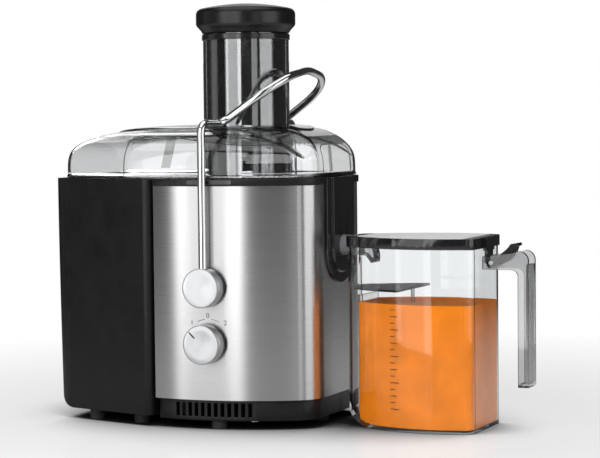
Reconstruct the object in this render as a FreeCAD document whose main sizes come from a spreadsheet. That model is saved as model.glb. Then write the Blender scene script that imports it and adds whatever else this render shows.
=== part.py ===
import FreeCAD, Part
import math
import os
import re
import Sketcher

# Centrifugal juicer, millimetres, +Z up.  Every sub-part is drawn in the machine's own
# frame, with the basket's axis at x = y = 0 and the floor at z = 0, and is then moved along
# X by axis_x, which puts the origin under the middle of the whole object's box.  The knobs
# are on the -Y side, the juice spout and jug on the +X side, the pulp container on -X.

SIZES = {
    "axis_x": -54.35,
    # levels of the machine's stack
    "base_low": 8.0,
    "base_top": 26.0,
    "steel_low": 27.0,
    "deck_top": 223.0,
    "rim_top": 229.5,
    "lid_low": 230.2,
    # plan of the machine: a bowed front and back, rounded corners and a flat right side;
    # between the two left corners a rounder waist stands out round the juice bowl, and the
    # pulp container is hollowed to fit it
    "skin_half": 94.0,
    "skin_right": 94.0,
    "bow_x": -20.0,
    "corner_radius": 30.0,
    "corner_y": 40.0,
    "bow_radius": "=((skin_right - corner_radius - bow_x)^2 + (skin_half - corner_y)^2"
                  " - corner_radius^2) / (2 * (skin_half - corner_y - corner_radius))",
    "machine_left": -54.0,
    "machine_waist": 86.0,
    "steel_gauge": 0.8,
    "skin_gap": 0.1,
    "base_inset": 3.0,
    "rim_proud": 1.5,
    "wall": 2.5,
    "foot_radius": 7.0,
    # cord inlet in the back wall
    "inlet_x": -20.0,
    "inlet_z": 48.0,
    "inlet_collar": 9.0,
    "inlet_neck": 6.0,
    "inlet_bore": 3.6,
    # base pan
    "air_hole": 45.0,
    "screw_head_height": 2.2,
    "screw_length": 15.0,
    "vent_count": 12,
    "vent_pitch": 6.3,
    "vent_width": 3.6,
    "vent_first": -33.0,
    "vent_low": 11.5,
    "vent_high": 24.0,
    # screws under the base
    "screw_x": 36.0,
    "screw_y": 68.0,
    "screw_shank": 1.9,
    "screw_head": 4.0,
    "boss_radius": 4.5,
    # motor
    "shaft_radius": 4.0,
    "shaft_low": 37.0,
    "shaft_shoulder": 188.0,
    "shaft_top": 199.0,
    "thread_radius": 3.0,
    "stator_low": 72.0,
    "stator_high": 112.0,
    "stator_x": 42.0,
    "stator_y": 38.0,
    "stator_bore": 24.3,
    "rotor_radius": 23.6,
    "coil_near": 26.6,
    "coil_far": 33.4,
    "coil_half": 22.0,
    "coil_inner": 15.0,
    "coil_end": 7.0,
    "bracket_low": 36.0,
    "bracket_high": 139.0,
    "bracket_plate": 3.0,
    "bracket_hole": 7.0,
    "bolt_x": 36.0,
    "bolt_y": 31.0,
    "bolt_radius": 1.9,
    "bolt_head": 3.4,
    "bolt_head_height": 3.0,
    "leg_half": 4.5,
    "bearing_outer": 11.0,
    "bearing_height": 7.0,
    "cup_outer": 13.5,
    "commutator_radius": 12.0,
    "commutator_low": 52.0,
    "commutator_high": 66.0,
    "brush_half": 3.0,
    "brush_tip": 12.4,
    "brush_tail": 26.0,
    "holder_half": 5.5,
    "holder_tail": 35.0,
    "fan_low": 120.5,
    "fan_high": 127.0,
    "fan_radius": 30.0,
    "fan_hub": 9.0,
    "fan_blades": 9,
    "mount_radius": 5.0,
    "mount_x": 40.0,
    "mount_y": 34.0,
    # juice bowl, its seal and spout
    "bowl_radius": 80.0,
    "bowl_wall": 2.0,
    "bowl_floor": 155.5,
    "bowl_hub": 11.0,
    "bowl_hub_bore": 8.5,
    "bowl_hub_top": 174.0,
    "flange_low": 231.0,
    "flange_high": 232.6,
    "flange_radius": 87.0,
    "seal_inner": 82.0,
    "seal_outer": 84.5,
    "deck_bore": 81.0,
    "spout_z": 165.5,
    "spout_outer": 9.5,
    "spout_bore": 7.5,
    "spout_end": 119.0,
    "spout_slot": 12.0,
    "panel_half": 33.0,
    "panel_centre": 163.0,
    "panel_proud": 2.2,
    "badge_half": 22.5,
    # strainer basket
    "basket_floor": 188.0,
    "basket_floor_top": 190.0,
    "basket_low_radius": 47.0,
    "basket_top_radius": 69.0,
    "basket_top": 226.0,
    "mesh_gauge": 1.0,
    "basket_rim_radius": 72.5,
    "basket_rim_top": 229.0,
    "grater_radius": 45.0,
    "grater_gauge": 0.8,
    "tooth_first": 18.0,
    "tooth_step": 9.0,
    "tooth_length": 3.5,
    "tooth_half": 0.6,
    "tooth_height": 1.4,
    "tooth_count": 18,
    "coupling_radius": 15.0,
    "coupling_neck": 9.0,
    "lug_half": 2.0,
    "coupling_low": 176.5,
    "nut_radius": 9.0,
    # clear lid and feed chute
    "lid_inset": 1.5,
    "lid_left": -163.0,
    "lid_left_half": 69.0,
    "lid_knee": -84.0,
    "lid_knee_half": 91.0,
    "lid_corner": 16.0,
    "lid_wall": 2.4,
    "lid_crown": 281.0,
    "lid_ceiling": 290.0,
    "plateau_inset": 24.0,
    "plateau_rise": 3.0,
    "chute_outer": 40.8,
    "chute_bore": 38.2,
    "chute_low": 206.0,
    "chute_top": 364.2,
    "lip_low": 358.5,
    "lip_radius": 41.6,
    # pusher
    "pusher_radius": 37.5,
    "pusher_wall": 2.5,
    "pusher_low": 212.0,
    "cap_low": 364.5,
    "cap_taper": 7.9,
    "cap_neck": 41.3,
    "cap_radius": 47.2,
    "cap_shoulder": 388.5,
    "cap_top": 393.0,
    # pulp container
    "pulp_right": -57.0,
    "pulp_left": -166.0,
    "pulp_left_top": -172.5,
    "pulp_half_left": 70.0,
    "pulp_half_right": 93.0,
    "pulp_low": 10.0,
    "pulp_wall": 2.3,
    "pulp_corner_left": 18.0,
    "pulp_corner_right": 7.0,
    "pulp_bottom_round": 13.0,
    "pulp_gap": 2.5,
    # locking bail and its pivots
    "bail_x": 2.0,
    "bail_z": 131.0,
    "wire_radius": 3.7,
    "leg_y": 103.0,
    "bail_sweep": 144.6,
    "bail_room_half": 60.0,
    "leg_foot": 138.0,
    "knob_radius": 18.0,
    "knob_near": 95.6,
    "knob_far": 110.0,
    "pin_radius": 4.0,
    "pin_clear": 0.05,
    "pin_inner": 80.0,
    "bush_flange": 16.5,
    "bush_inner": 84.0,
    "collar_radius": 15.5,
    # speed switch
    "dial_z": 79.5,
    "interlock_left": 12.0,
    "interlock_right": 32.0,
    "interlock_near": 62.0,
    "interlock_far": 72.0,
    "interlock_half": 7.0,
    "board_x": -50.0,
    "board_gauge": 1.6,
    "board_front": -82.0,
    "board_back": -46.0,
    "board_low": 60.0,
    "board_high": 110.0,
    "spindle_radius": 3.0,
    "switch_half": 14.0,
    "switch_near": 68.0,
    "switch_far": 86.6,
    # juice jug
    "jug_left": 109.0,
    "jug_right": 238.0,
    "jug_half_left": 27.0,
    "jug_half_right": 43.0,
    "jug_corner_left": 14.0,
    "jug_corner_right": 10.0,
    "jug_bow": 117.0,
    "jug_top": 165.0,
    "jug_wall": 2.4,
    "jug_floor": 3.0,
    "jug_round": 27.0,
    "notch_half": 13.0,
    "notch_right": 141.0,
    "shelf_z": 126.0,
    "shelf_right": 168.0,
    "shelf_plate": 2.0,
    "handle_half": 12.0,
    "handle_low": 40.0,
    "handle_top": 163.0,
    "handle_near": 271.0,
    "handle_far": 281.0,
    "rail_plate": 3.6,
    "arm_low": 146.0,
    "arm_high": 158.0,
    "hinge_x": 246.0,
    "hinge_z": 152.0,
    "hinge_pin": 2.0,
    "barrel_radius": 5.2,
    "jug_lid_low": 165.4,
    "jug_lid_high": 175.0,
    "jug_lid_proud": 1.4,
}

doc = FreeCAD.newDocument("centrifugal_juicer")
sheet = doc.addObject("Spreadsheet::Sheet", "Size")
for row, (alias, number) in enumerate(SIZES.items(), start=1):
    sheet.set("A%d" % row, alias)
    sheet.set("B%d" % row, str(number))
    sheet.setAlias("B%d" % row, alias)
doc.recompute()

SUBPARTS = []


# ---------------------------------------------------------------- expressions and sketches

def named(formula):
    """Write each alias in a formula as the spreadsheet's own cell."""
    def cell(match):
        word = match.group(0)
        return "Size." + word if word in SIZES else word
    return re.sub(r"[a-z_]+", cell, str(formula))


def value(formula):
    """The number that a formula gives now."""
    return float(sheet.evalExpression(named(formula)))


def bind(thing, target, formula):
    """Bind one property of a document object to a formula of the driving sizes."""
    thing.setExpression(target, named(formula))


def add(thing, label):
    """Name a finished sub-part and move it from the machine's frame to the part's."""
    thing.Label = label
    bind(thing, ".Placement.Base.x", "axis_x")
    SUBPARTS.append(thing)
    return thing


def new_body(name):
    return doc.addObject("PartDesign::Body", name)


def sketch(body, plane, height="0"):
    """A sketch on one of the body's own origin planes, lifted along the plane's normal."""
    drawing = body.newObject("Sketcher::SketchObject", body.Name + "_sketch")
    for origin_plane in body.Origin.OriginFeatures:
        if origin_plane.Role == plane:
            drawing.AttachmentSupport = (origin_plane, [""])
    drawing.MapMode = "FlatFace"
    bind(drawing, ".AttachmentOffset.Base.z", height)
    return drawing


def arc_between(start, end, radius, turn):
    """The shorter arc from start to end; turn is 1 when it runs anticlockwise."""
    chord = end - start
    middle = (start + end) * 0.5
    depth = math.sqrt(max(radius ** 2 - (chord.Length / 2) ** 2, 0.0))
    side = FreeCAD.Vector(-chord.y, chord.x, 0).normalize() * depth * turn
    centre = middle + side
    first, last = (start, end) if turn > 0 else (end, start)
    angles = [math.atan2(point.y - centre.y, point.x - centre.x) for point in (first, last)]
    circle = Part.Circle(centre, FreeCAD.Vector(0, 0, 1), radius)
    return Part.ArcOfCircle(circle, angles[0], angles[1])


def loop(drawing, points):
    """A closed loop through points given as formulas (x, y).  A point (x, y, radius) is
    reached by an anticlockwise arc of that radius, and (x, y, radius, -1) by a clockwise
    one.  Every point and radius is held by a constraint bound to its formula."""
    corners = [FreeCAD.Vector(value(point[0]), value(point[1]), 0) for point in points]
    count = len(points)
    first = drawing.GeometryCount
    ends = []
    for index in range(count):
        target = points[(index + 1) % count]
        start, end = corners[index], corners[(index + 1) % count]
        if len(target) == 2:
            drawing.addGeometry(Part.LineSegment(start, end), False)
            ends.append((1, 2))
        else:
            turn = target[3] if len(target) > 3 else 1
            drawing.addGeometry(arc_between(start, end, value(target[2]), turn), False)
            ends.append((1, 2) if turn > 0 else (2, 1))
    for index in range(count):
        following = (index + 1) % count
        drawing.addConstraint(Sketcher.Constraint(
            "Coincident", first + index, ends[index][1], first + following, ends[following][0]))
    for index, point in enumerate(points):
        place = (first + index, ends[index][0])
        across = drawing.addConstraint(Sketcher.Constraint(
            "DistanceX", -1, 1, place[0], place[1], corners[index].x))
        bind(drawing, "Constraints[%d]" % across, point[0])
        upward = drawing.addConstraint(Sketcher.Constraint(
            "DistanceY", -1, 1, place[0], place[1], corners[index].y))
        bind(drawing, "Constraints[%d]" % upward, point[1])
        if len(point) > 2:
            previous = first + (index - 1) % count
            size = drawing.addConstraint(Sketcher.Constraint("Radius", previous, value(point[2])))
            bind(drawing, "Constraints[%d]" % size, point[2])


def circle(drawing, x, y, radius):
    """A circle whose centre and radius are held by constraints bound to formulas."""
    centre = FreeCAD.Vector(value(x), value(y), 0)
    index = drawing.addGeometry(
        Part.Circle(centre, FreeCAD.Vector(0, 0, 1), value(radius)), False)
    for kind, number, formula in (("DistanceX", centre.x, x), ("DistanceY", centre.y, y)):
        held = drawing.addConstraint(Sketcher.Constraint(kind, -1, 1, index, 3, number))
        bind(drawing, "Constraints[%d]" % held, formula)
    size = drawing.addConstraint(Sketcher.Constraint("Radius", index, value(radius)))
    bind(drawing, "Constraints[%d]" % size, radius)


def rectangle(left, low, right, high):
    return [(left, low), (right, low), (right, high), (left, high)]


# ---------------------------------------------------------------- features and primitives

def pad(body, drawing, length, backward=False):
    feature = body.newObject("PartDesign::Pad", body.Name + "_pad")
    feature.Profile = drawing
    bind(feature, "Length", length)
    feature.Reversed = backward
    body.Tip = feature
    return feature


def pocket(body, drawing, length, forward=False):
    """Cut away material; forward cuts along the sketch's normal."""
    before = body.Tip
    doc.recompute()
    volume = before.Shape.Volume
    feature = body.newObject("PartDesign::Pocket", body.Name + "_pocket")
    feature.Profile = drawing
    bind(feature, "Length", length)
    feature.Reversed = forward
    body.Tip = feature
    doc.recompute()
    if feature.Shape.Volume > volume - 0.01:
        raise RuntimeError("the pocket in %s cuts nothing" % body.Name)
    return feature


def turned(label, points):
    """A body of revolution about the machine's axis from a closed (radius, height) loop."""
    body = new_body(label)
    drawing = sketch(body, "XZ_Plane")
    loop(drawing, points)
    feature = body.newObject("PartDesign::Revolution", body.Name + "_turn")
    feature.Profile = drawing
    feature.ReferenceAxis = (drawing, ["V_Axis"])
    feature.Angle = 360
    body.Tip = feature
    return body


def ring(label, inner, outer, low, high):
    return turned(label, rectangle(inner, low, outer, high))


def around(body, feature, drawing, count):
    """Repeat a feature about the axis of its sketch."""
    doc.recompute()
    pattern = body.newObject("PartDesign::PolarPattern", body.Name + "_round")
    pattern.Originals = [feature]
    pattern.Axis = (drawing, ["N_Axis"])
    pattern.Angle = 360
    bind(pattern, "Occurrences", count)
    body.Tip = pattern
    return pattern


def prism(name, points, low, high):
    """An upright body on a plan outline."""
    body = new_body(name)
    drawing = sketch(body, "XY_Plane", low)
    loop(drawing, points)
    pad(body, drawing, "(%s) - (%s)" % (high, low))
    return body


def side_profile(name, points, half):
    """A profile in X and Z carried the same distance to both sides of y = 0."""
    body = new_body(name)
    drawing = sketch(body, "XZ_Plane", "-(%s)" % half)
    loop(drawing, points)
    pad(body, drawing, "2 * (%s)" % half)
    return body


def end_profile(name, points, start, length):
    """A profile in Y and Z carried along +X from start."""
    body = new_body(name)
    drawing = sketch(body, "YZ_Plane", start)
    loop(drawing, points)
    pad(body, drawing, length)
    return body


TURNS = {
    "z": FreeCAD.Rotation(),
    "x": FreeCAD.Rotation(FreeCAD.Vector(0, 1, 0), 90),
    "y": FreeCAD.Rotation(FreeCAD.Vector(1, 0, 0), -90),
}


def rod(name, radius, start, end, across=("0", "0"), axis="z"):
    """A round bar along an axis from start to end; across gives its other two places."""
    bar = doc.addObject("Part::Cylinder", name)
    bind(bar, "Radius", radius)
    bind(bar, "Height", "(%s) - (%s)" % (end, start))
    bar.Placement.Rotation = TURNS[axis]
    places = {"z": (across[0], across[1], start), "x": (start, across[0], across[1]),
              "y": (across[0], start, across[1])}[axis]
    for letter, formula in zip("xyz", places):
        bind(bar, ".Placement.Base." + letter, formula)
    return bar


def block(name, low, high):
    """A box between two corners given as formulas."""
    box = doc.addObject("Part::Box", name)
    for index, size in enumerate(("Length", "Width", "Height")):
        bind(box, size, "(%s) - (%s)" % (high[index], low[index]))
        bind(box, ".Placement.Base." + "xyz"[index], low[index])
    return box


def fuse(name, *shapes):
    union = doc.addObject("Part::MultiFuse", name)
    union.Shapes = list(shapes)
    return union


def common(name, *shapes):
    """The space that all the shapes share."""
    shared = doc.addObject("Part::MultiCommon", name)
    shared.Shapes = list(shapes)
    return shared


def cut(name, base, *tools):
    difference = doc.addObject("Part::Cut", name)
    difference.Base = base
    difference.Tool = tools[0] if len(tools) == 1 else fuse(name + "_tools", *tools)
    return difference


def group(name, shapes):
    """One or more pieces, drawn at their own places, kept as the solids of one sub-part."""
    bundle = doc.addObject("Part::Compound", name)
    bundle.Links = list(shapes)
    return bundle


def corners(x, y):
    """The four places at plus and minus x and y."""
    return [("%d * (%s)" % (i, x), "%d * (%s)" % (j, y)) for i in (-1, 1) for j in (-1, 1)]


# ---------------------------------------------------------------- plan outlines

def skin_plan(inset, left):
    """Bowed front and back, rounded right corners and a flat right side, inset all round
    and cut straight at left."""
    bow = "(bow_radius - %s)" % inset
    corner = "(corner_radius - %s)" % inset
    right = "(skin_right - %s)" % inset
    centre = "(bow_radius - skin_half)"
    share = "(%s / (bow_radius - corner_radius))" % bow
    join_x = "(bow_x + (skin_right - corner_radius - bow_x) * %s)" % share
    join_y = "((corner_y + %s) * %s - %s)" % (centre, share, centre)
    left_y = "(sqrt(%s^2 - (%s - bow_x)^2) - %s)" % (bow, left, centre)
    return [(left, "-" + left_y), (join_x, "-" + join_y, bow), (right, "-corner_y", corner),
            (right, "corner_y"), (join_x, join_y, corner), (left, left_y, bow)]


def machine_plan(inset):
    """The skin's plan with the rounder waist on its left side, inset all round."""
    left = "(machine_left + %s)" % inset
    waist = "(machine_waist - %s)" % inset
    half = "sqrt(%s^2 - %s^2)" % (waist, left)
    return skin_plan(inset, left) + [(left, half), ("-" + waist, "0", waist),
                                     (left, "-" + half, waist)]


def lid_plan(inset):
    """The machine's plan carried on to the left, narrowing over the pulp container."""
    skin = skin_plan("(lid_inset + %s)" % inset, "bow_x")
    left = "(lid_left + %s)" % inset
    half = "(lid_left_half - %s)" % inset
    knee = "(lid_knee_half - %s)" % inset
    rounding = "1.1 * lid_corner"
    front = [(left, "-(%s - lid_corner)" % half),
             (left + " + lid_corner", "-(%s + 4)" % half, rounding), ("lid_knee", "-" + knee)]
    back = [("lid_knee", knee), (left + " + lid_corner", half + " + 4"),
            (left, half + " - lid_corner", rounding)]
    return front + skin + back


def cup_plan(left, right, half_left, half_right, corner_left, corner_right, bow=None):
    """A four-sided plan with rounded corners, wider at one end; bow is the radius of its
    two long sides where they are curved."""
    side = () if bow is None else (bow,)
    return [(left, "-(%s - %s)" % (half_left, corner_left)),
            ("%s + %s" % (left, corner_left), "-(%s)" % half_left, corner_left),
            ("%s - %s" % (right, corner_right), "-(%s)" % half_right) + side,
            (right, "-(%s - %s)" % (half_right, corner_right), corner_right),
            (right, "%s - %s" % (half_right, corner_right)),
            ("%s - %s" % (right, corner_right), half_right, corner_right),
            ("%s + %s" % (left, corner_left), half_left) + side,
            (left, "%s - %s" % (half_left, corner_left), corner_left)]


# ---------------------------------------------------------------- base, housing and skin

def base_pan():
    """Vented tray that closes the machine underneath."""
    body = prism("base_pan", machine_plan("base_inset"), "base_low", "base_top")
    hollow = sketch(body, "XY_Plane", "base_top")
    loop(hollow, machine_plan("(base_inset + wall)"))
    pocket(body, hollow, "base_top - base_low - wall")
    holes = sketch(body, "XY_Plane", "base_low + wall")
    for x, y in corners("screw_x", "screw_y"):
        circle(holes, x, y, "screw_shank + 0.2")
    pocket(body, holes, "wall")
    vent = sketch(body, "XZ_Plane", "skin_half - 34")
    loop(vent, rectangle("vent_first", "vent_low", "vent_first + vent_width", "vent_high"))
    slot = pocket(body, vent, "40", forward=True)
    row = body.newObject("PartDesign::LinearPattern", "vent_row")
    row.Originals = [slot]
    row.Direction = (vent, ["H_Axis"])
    bind(row, "Length", "(vent_count - 1) * vent_pitch")
    bind(row, "Occurrences", "vent_count")
    body.Tip = row
    add(body, "base_pan")


BASE_FEET = (("5", "-78"), ("5", "78"), ("74", "0"), ("-70", "0"))
PULP_FEET = (("-132", "-62"), ("-132", "62"), ("-80", "-70"), ("-80", "70"))


def feet(label, places, top):
    """Round rubber feet on the floor."""
    pieces = [rod("%s_%d" % (label, index), "foot_radius", "0", top, place)
              for index, place in enumerate(places)]
    add(group(label, pieces), label)


def base_screws():
    pieces = []
    for index, place in enumerate(corners("screw_x", "screw_y")):
        head = rod("screw_head_%d" % index, "screw_head", "base_low - screw_head_height",
                   "base_low", place)
        shank = rod("screw_shank_%d" % index, "screw_shank", "base_low", "base_low + screw_length",
                    place)
        pieces.append(fuse("base_screw_%d" % index, head, shank))
    add(group("base_screws", pieces), "base_screws")


def round_foot(half, low, high):
    """An upright slot or tab: straight sides from high down to low, then a half round."""
    return [("-(%s)" % half, low), ("0", "(%s) - (%s)" % (low, half), half),
            (half, low, half), (half, high), ("-(%s)" % half, high)]


def spout_slot(name, half, low, near, far):
    """An upright slot for the spout: a half-round bottom under low, open above."""
    return end_profile(name, round_foot(half, low, "rim_top + 20"), near,
                       "(%s) - (%s)" % (far, near))


def skin_bores(name):
    """Bores through the walls for the pivot bushes, the dial's collar and the cord inlet."""
    return [rod(name + "_bail_bore", "collar_radius + 0.1", "-knob_far", "knob_far",
                ("bail_x", "bail_z"), "y"),
            rod(name + "_dial_bore", "collar_radius + 0.1", "-knob_far", "-60",
                ("bail_x", "dial_z"), "y"),
            rod(name + "_cord_bore", "inlet_neck + 0.1", "60", "knob_far",
                ("inlet_x", "inlet_z"), "y")]


def motor_housing():
    """Moulded chassis: outer wall, motor floor, deck with the bowl's opening, screw bosses."""
    body = prism("housing_shell", machine_plan("(steel_gauge + skin_gap)"),
                 "base_top", "deck_top")
    cavity = sketch(body, "XY_Plane", "base_top + wall")
    loop(cavity, machine_plan("(steel_gauge + skin_gap + wall)"))
    pocket(body, cavity, "deck_top - base_top - 2 * wall", forward=True)
    opening = sketch(body, "XY_Plane", "deck_top")
    circle(opening, "0", "0", "deck_bore")
    pocket(body, opening, "wall")
    air_hole = sketch(body, "XY_Plane", "base_top")
    circle(air_hole, "0", "0", "air_hole")
    pocket(body, air_hole, "wall", forward=True)
    tools = [spout_slot("housing_slot", "spout_slot", "spout_z", "spout_end - 45", "spout_end")]
    tools += skin_bores("housing")
    bosses = []
    for index, place in enumerate(corners("screw_x", "screw_y")):
        bosses.append(rod("boss_%d" % index, "boss_radius", "base_low + wall",
                          "base_top + wall + 4", place))
        tools.append(rod("boss_bore_%d" % index, "screw_shank + 0.1", "base_low",
                         "base_low + screw_length + 2", place))
    add(cut("motor_housing", fuse("housing_bosses", body, *bosses), *tools), "motor_housing")


def steel_wrap():
    """Brushed steel sheet round the front, right and back, open behind the container."""
    body = prism("wrap_sheet", skin_plan("0", "machine_left"), "steel_low", "deck_top")
    inner = sketch(body, "XY_Plane", "deck_top")
    loop(inner, skin_plan("steel_gauge", "machine_left - 10"))
    pocket(body, inner, "deck_top - steel_low")
    tools = [spout_slot("wrap_slot", "panel_half + 0.2", "panel_centre", "skin_right - 8",
                        "skin_right + 5")]
    add(cut("steel_wrap", body, *tools, *skin_bores("wrap")), "steel_wrap")


def top_rim():
    """Black band between the steel and the lid, gapped where the spout panel rises."""
    body = prism("top_rim", skin_plan("(0 - rim_proud)", "machine_left"), "deck_top", "rim_top")
    waist = sketch(body, "XY_Plane", "deck_top")
    circle(waist, "0", "0", "machine_waist - 0.5")
    pad(body, waist, "rim_top - deck_top")
    opening = sketch(body, "XY_Plane", "rim_top")
    circle(opening, "0", "0", "deck_bore")
    pocket(body, opening, "rim_top - deck_top")
    gap = sketch(body, "XY_Plane", "rim_top")
    loop(gap, rectangle("60", "-(panel_half + 0.2)", "skin_right + 10", "panel_half + 0.2"))
    pocket(body, gap, "rim_top - deck_top")
    add(body, "top_rim")


def spout_panel():
    """Black panel that closes the spout's opening in the skin, with a raised middle."""
    face = end_profile("panel_face", round_foot("panel_half", "panel_centre", "rim_top"),
                       "skin_right - steel_gauge", "steel_gauge + panel_proud")
    middle = end_profile("panel_middle", round_foot("badge_half", "panel_centre", "rim_top"),
                         "skin_right", "2 * panel_proud")
    hole = rod("panel_hole", "spout_outer + 0.2", "skin_right - 10", "skin_right + 10",
               ("0", "spout_z"), "x")
    add(cut("spout_panel", fuse("panel_plates", face, middle), hole), "spout_panel")


def cord_inlet():
    """Bushed inlet for the supply cord in the back wall."""
    centre = ("inlet_x", "inlet_z")
    collar = rod("inlet_collar", "inlet_collar", "skin_half + 0.1", "skin_half + 5", centre, "y")
    neck = rod("inlet_neck", "inlet_neck", "skin_half - 8", "skin_half + 0.1", centre, "y")
    hole = rod("inlet_hole", "inlet_bore", "skin_half - 12", "skin_half + 8", centre, "y")
    add(cut("cord_inlet", fuse("inlet_bush", collar, neck), hole), "cord_inlet")


# ---------------------------------------------------------------- motor

def motor_bracket(label, plate_low, leg_low, leg_high, cup_low, cup_high):
    """End bracket: plate with a bearing cup, four legs to the stator and bolt holes."""
    plate = block(label + "_plate", ("-(bolt_x + leg_half)", "-(bolt_y + leg_half)", plate_low),
                  ("bolt_x + leg_half", "bolt_y + leg_half", "%s + bracket_plate" % plate_low))
    solids = [plate, rod(label + "_cup", "cup_outer", cup_low, cup_high)]
    tools = [rod(label + "_bore", "bracket_hole", "%s - 1" % plate_low,
                 "%s + bracket_plate + 1" % plate_low)]
    tools.append(rod(label + "_seat", "bearing_outer + 0.05", cup_low, cup_high))
    for index, place in enumerate(corners("bolt_x", "bolt_y")):
        x, y = place
        solids.append(block("%s_leg_%d" % (label, index),
                            (x + " - leg_half", y + " - leg_half", leg_low),
                            (x + " + leg_half", y + " + leg_half", leg_high)))
        tools.append(rod("%s_hole_%d" % (label, index), "bolt_radius + 0.2",
                         "bracket_low - 5", "bracket_high + 5", place))
    add(cut(label, fuse(label + "_solid", *solids), *tools), label)


def motor_brackets():
    motor_bracket("lower_bracket", "bracket_low", "bracket_low", "stator_low",
                  "bracket_low + bracket_plate", "bracket_low + bracket_plate + bearing_height")
    motor_bracket("upper_bracket", "bracket_high - bracket_plate", "stator_high",
                  "bracket_high", "bracket_high - bracket_plate - bearing_height",
                  "bracket_high - bracket_plate")
    bolts = []
    for index, place in enumerate(corners("bolt_x", "bolt_y")):
        head = rod("bolt_head_%d" % index, "bolt_head", "bracket_high",
                   "bracket_high + bolt_head_height", place)
        shank = rod("bolt_shank_%d" % index, "bolt_radius", "bracket_low + 0.5",
                    "bracket_high", place)
        bolts.append(fuse("bracket_bolt_%d" % index, head, shank))
    add(group("bracket_bolts", bolts), "bracket_bolts")


def bearings():
    lower = "(bracket_low + bracket_plate)"
    upper = "(bracket_high - bracket_plate)"
    add(ring("lower_bearing", "shaft_radius + pin_clear", "bearing_outer",
             lower, lower + " + bearing_height"), "lower_bearing")
    add(ring("upper_bearing", "shaft_radius + pin_clear", "bearing_outer",
             upper + " - bearing_height", upper), "upper_bearing")


def motor_stator():
    """Laminated stack with a round bore, coil slots and bolt holes."""
    body = prism("motor_stator", rectangle("-stator_x", "-stator_y", "stator_x", "stator_y"),
                 "stator_low", "stator_high")
    holes = sketch(body, "XY_Plane", "stator_high")
    circle(holes, "0", "0", "stator_bore")
    for x, y in corners("bolt_x", "bolt_y"):
        circle(holes, x, y, "bolt_radius + 0.2")
    for sign in (-1, 1):
        for side in (-1, 1):
            near, far = ("coil_near - 0.2", "coil_far + 0.2")
            low, high = ("coil_inner - 0.2", "coil_half + 0.2")
            left, right = (near, far) if sign > 0 else ("-(%s)" % far, "-(%s)" % near)
            bottom, top = (low, high) if side > 0 else ("-(%s)" % high, "-(%s)" % low)
            loop(holes, rectangle(left, bottom, right, top))
    pocket(body, holes, "stator_high - stator_low")
    add(body, "motor_stator")


def field_coils():
    """Two wound frames, one through the slots on each side of the bore."""
    pieces = []
    for sign, side in ((-1, "left"), (1, "right")):
        start = "coil_near" if sign > 0 else "-coil_far"
        outer = end_profile("coil_outer_" + side, rectangle(
            "-coil_half", "stator_low - coil_end", "coil_half", "stator_high + coil_end"),
            start, "coil_far - coil_near")
        window = end_profile("coil_window_" + side, rectangle(
            "-coil_inner", "stator_low - 0.3", "coil_inner", "stator_high + 0.3"),
            start + " - 1", "coil_far - coil_near + 2")
        pieces.append(cut("coil_" + side, outer, window))
    add(group("field_coils", pieces), "field_coils")


def brush_gear():
    """Carbon brushes in their holders, in front of and behind the commutator."""
    middle = "(commutator_low + commutator_high) / 2"
    holders, brushes = [], []
    for sign, side in ((-1, "front"), (1, "back")):
        def span(inner, outer):
            return (inner, outer) if sign > 0 else ("-(%s)" % outer, "-(%s)" % inner)
        near, far = span("brush_tip + 1", "holder_tail")
        case = block("holder_case_" + side, ("-holder_half", near, middle + " - holder_half"),
                     ("holder_half", far, middle + " + holder_half"))
        channel_near, channel_far = span("brush_tip", "holder_tail - 2")
        channel = block("holder_channel_" + side,
                        ("-(brush_half + 0.1)", channel_near, middle + " - brush_half - 0.1"),
                        ("brush_half + 0.1", channel_far, middle + " + brush_half + 0.1"))
        holders.append(cut("holder_" + side, case, channel))
        brush_near, brush_far = span("brush_tip", "brush_tail")
        brushes.append(block("brush_" + side, ("-brush_half", brush_near, middle + " - brush_half"),
                             ("brush_half", brush_far, middle + " + brush_half")))
    add(group("brush_holders", holders), "brush_holders")
    add(group("carbon_brushes", brushes), "carbon_brushes")


def motor_mounts():
    """Rubber blocks between the housing's floor and the lower bracket."""
    pieces = [rod("mount_%d" % index, "mount_radius", "base_top + wall", "bracket_low", place)
              for index, place in enumerate(corners("mount_x", "mount_y"))]
    add(group("motor_mounts", pieces), "motor_mounts")


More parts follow.
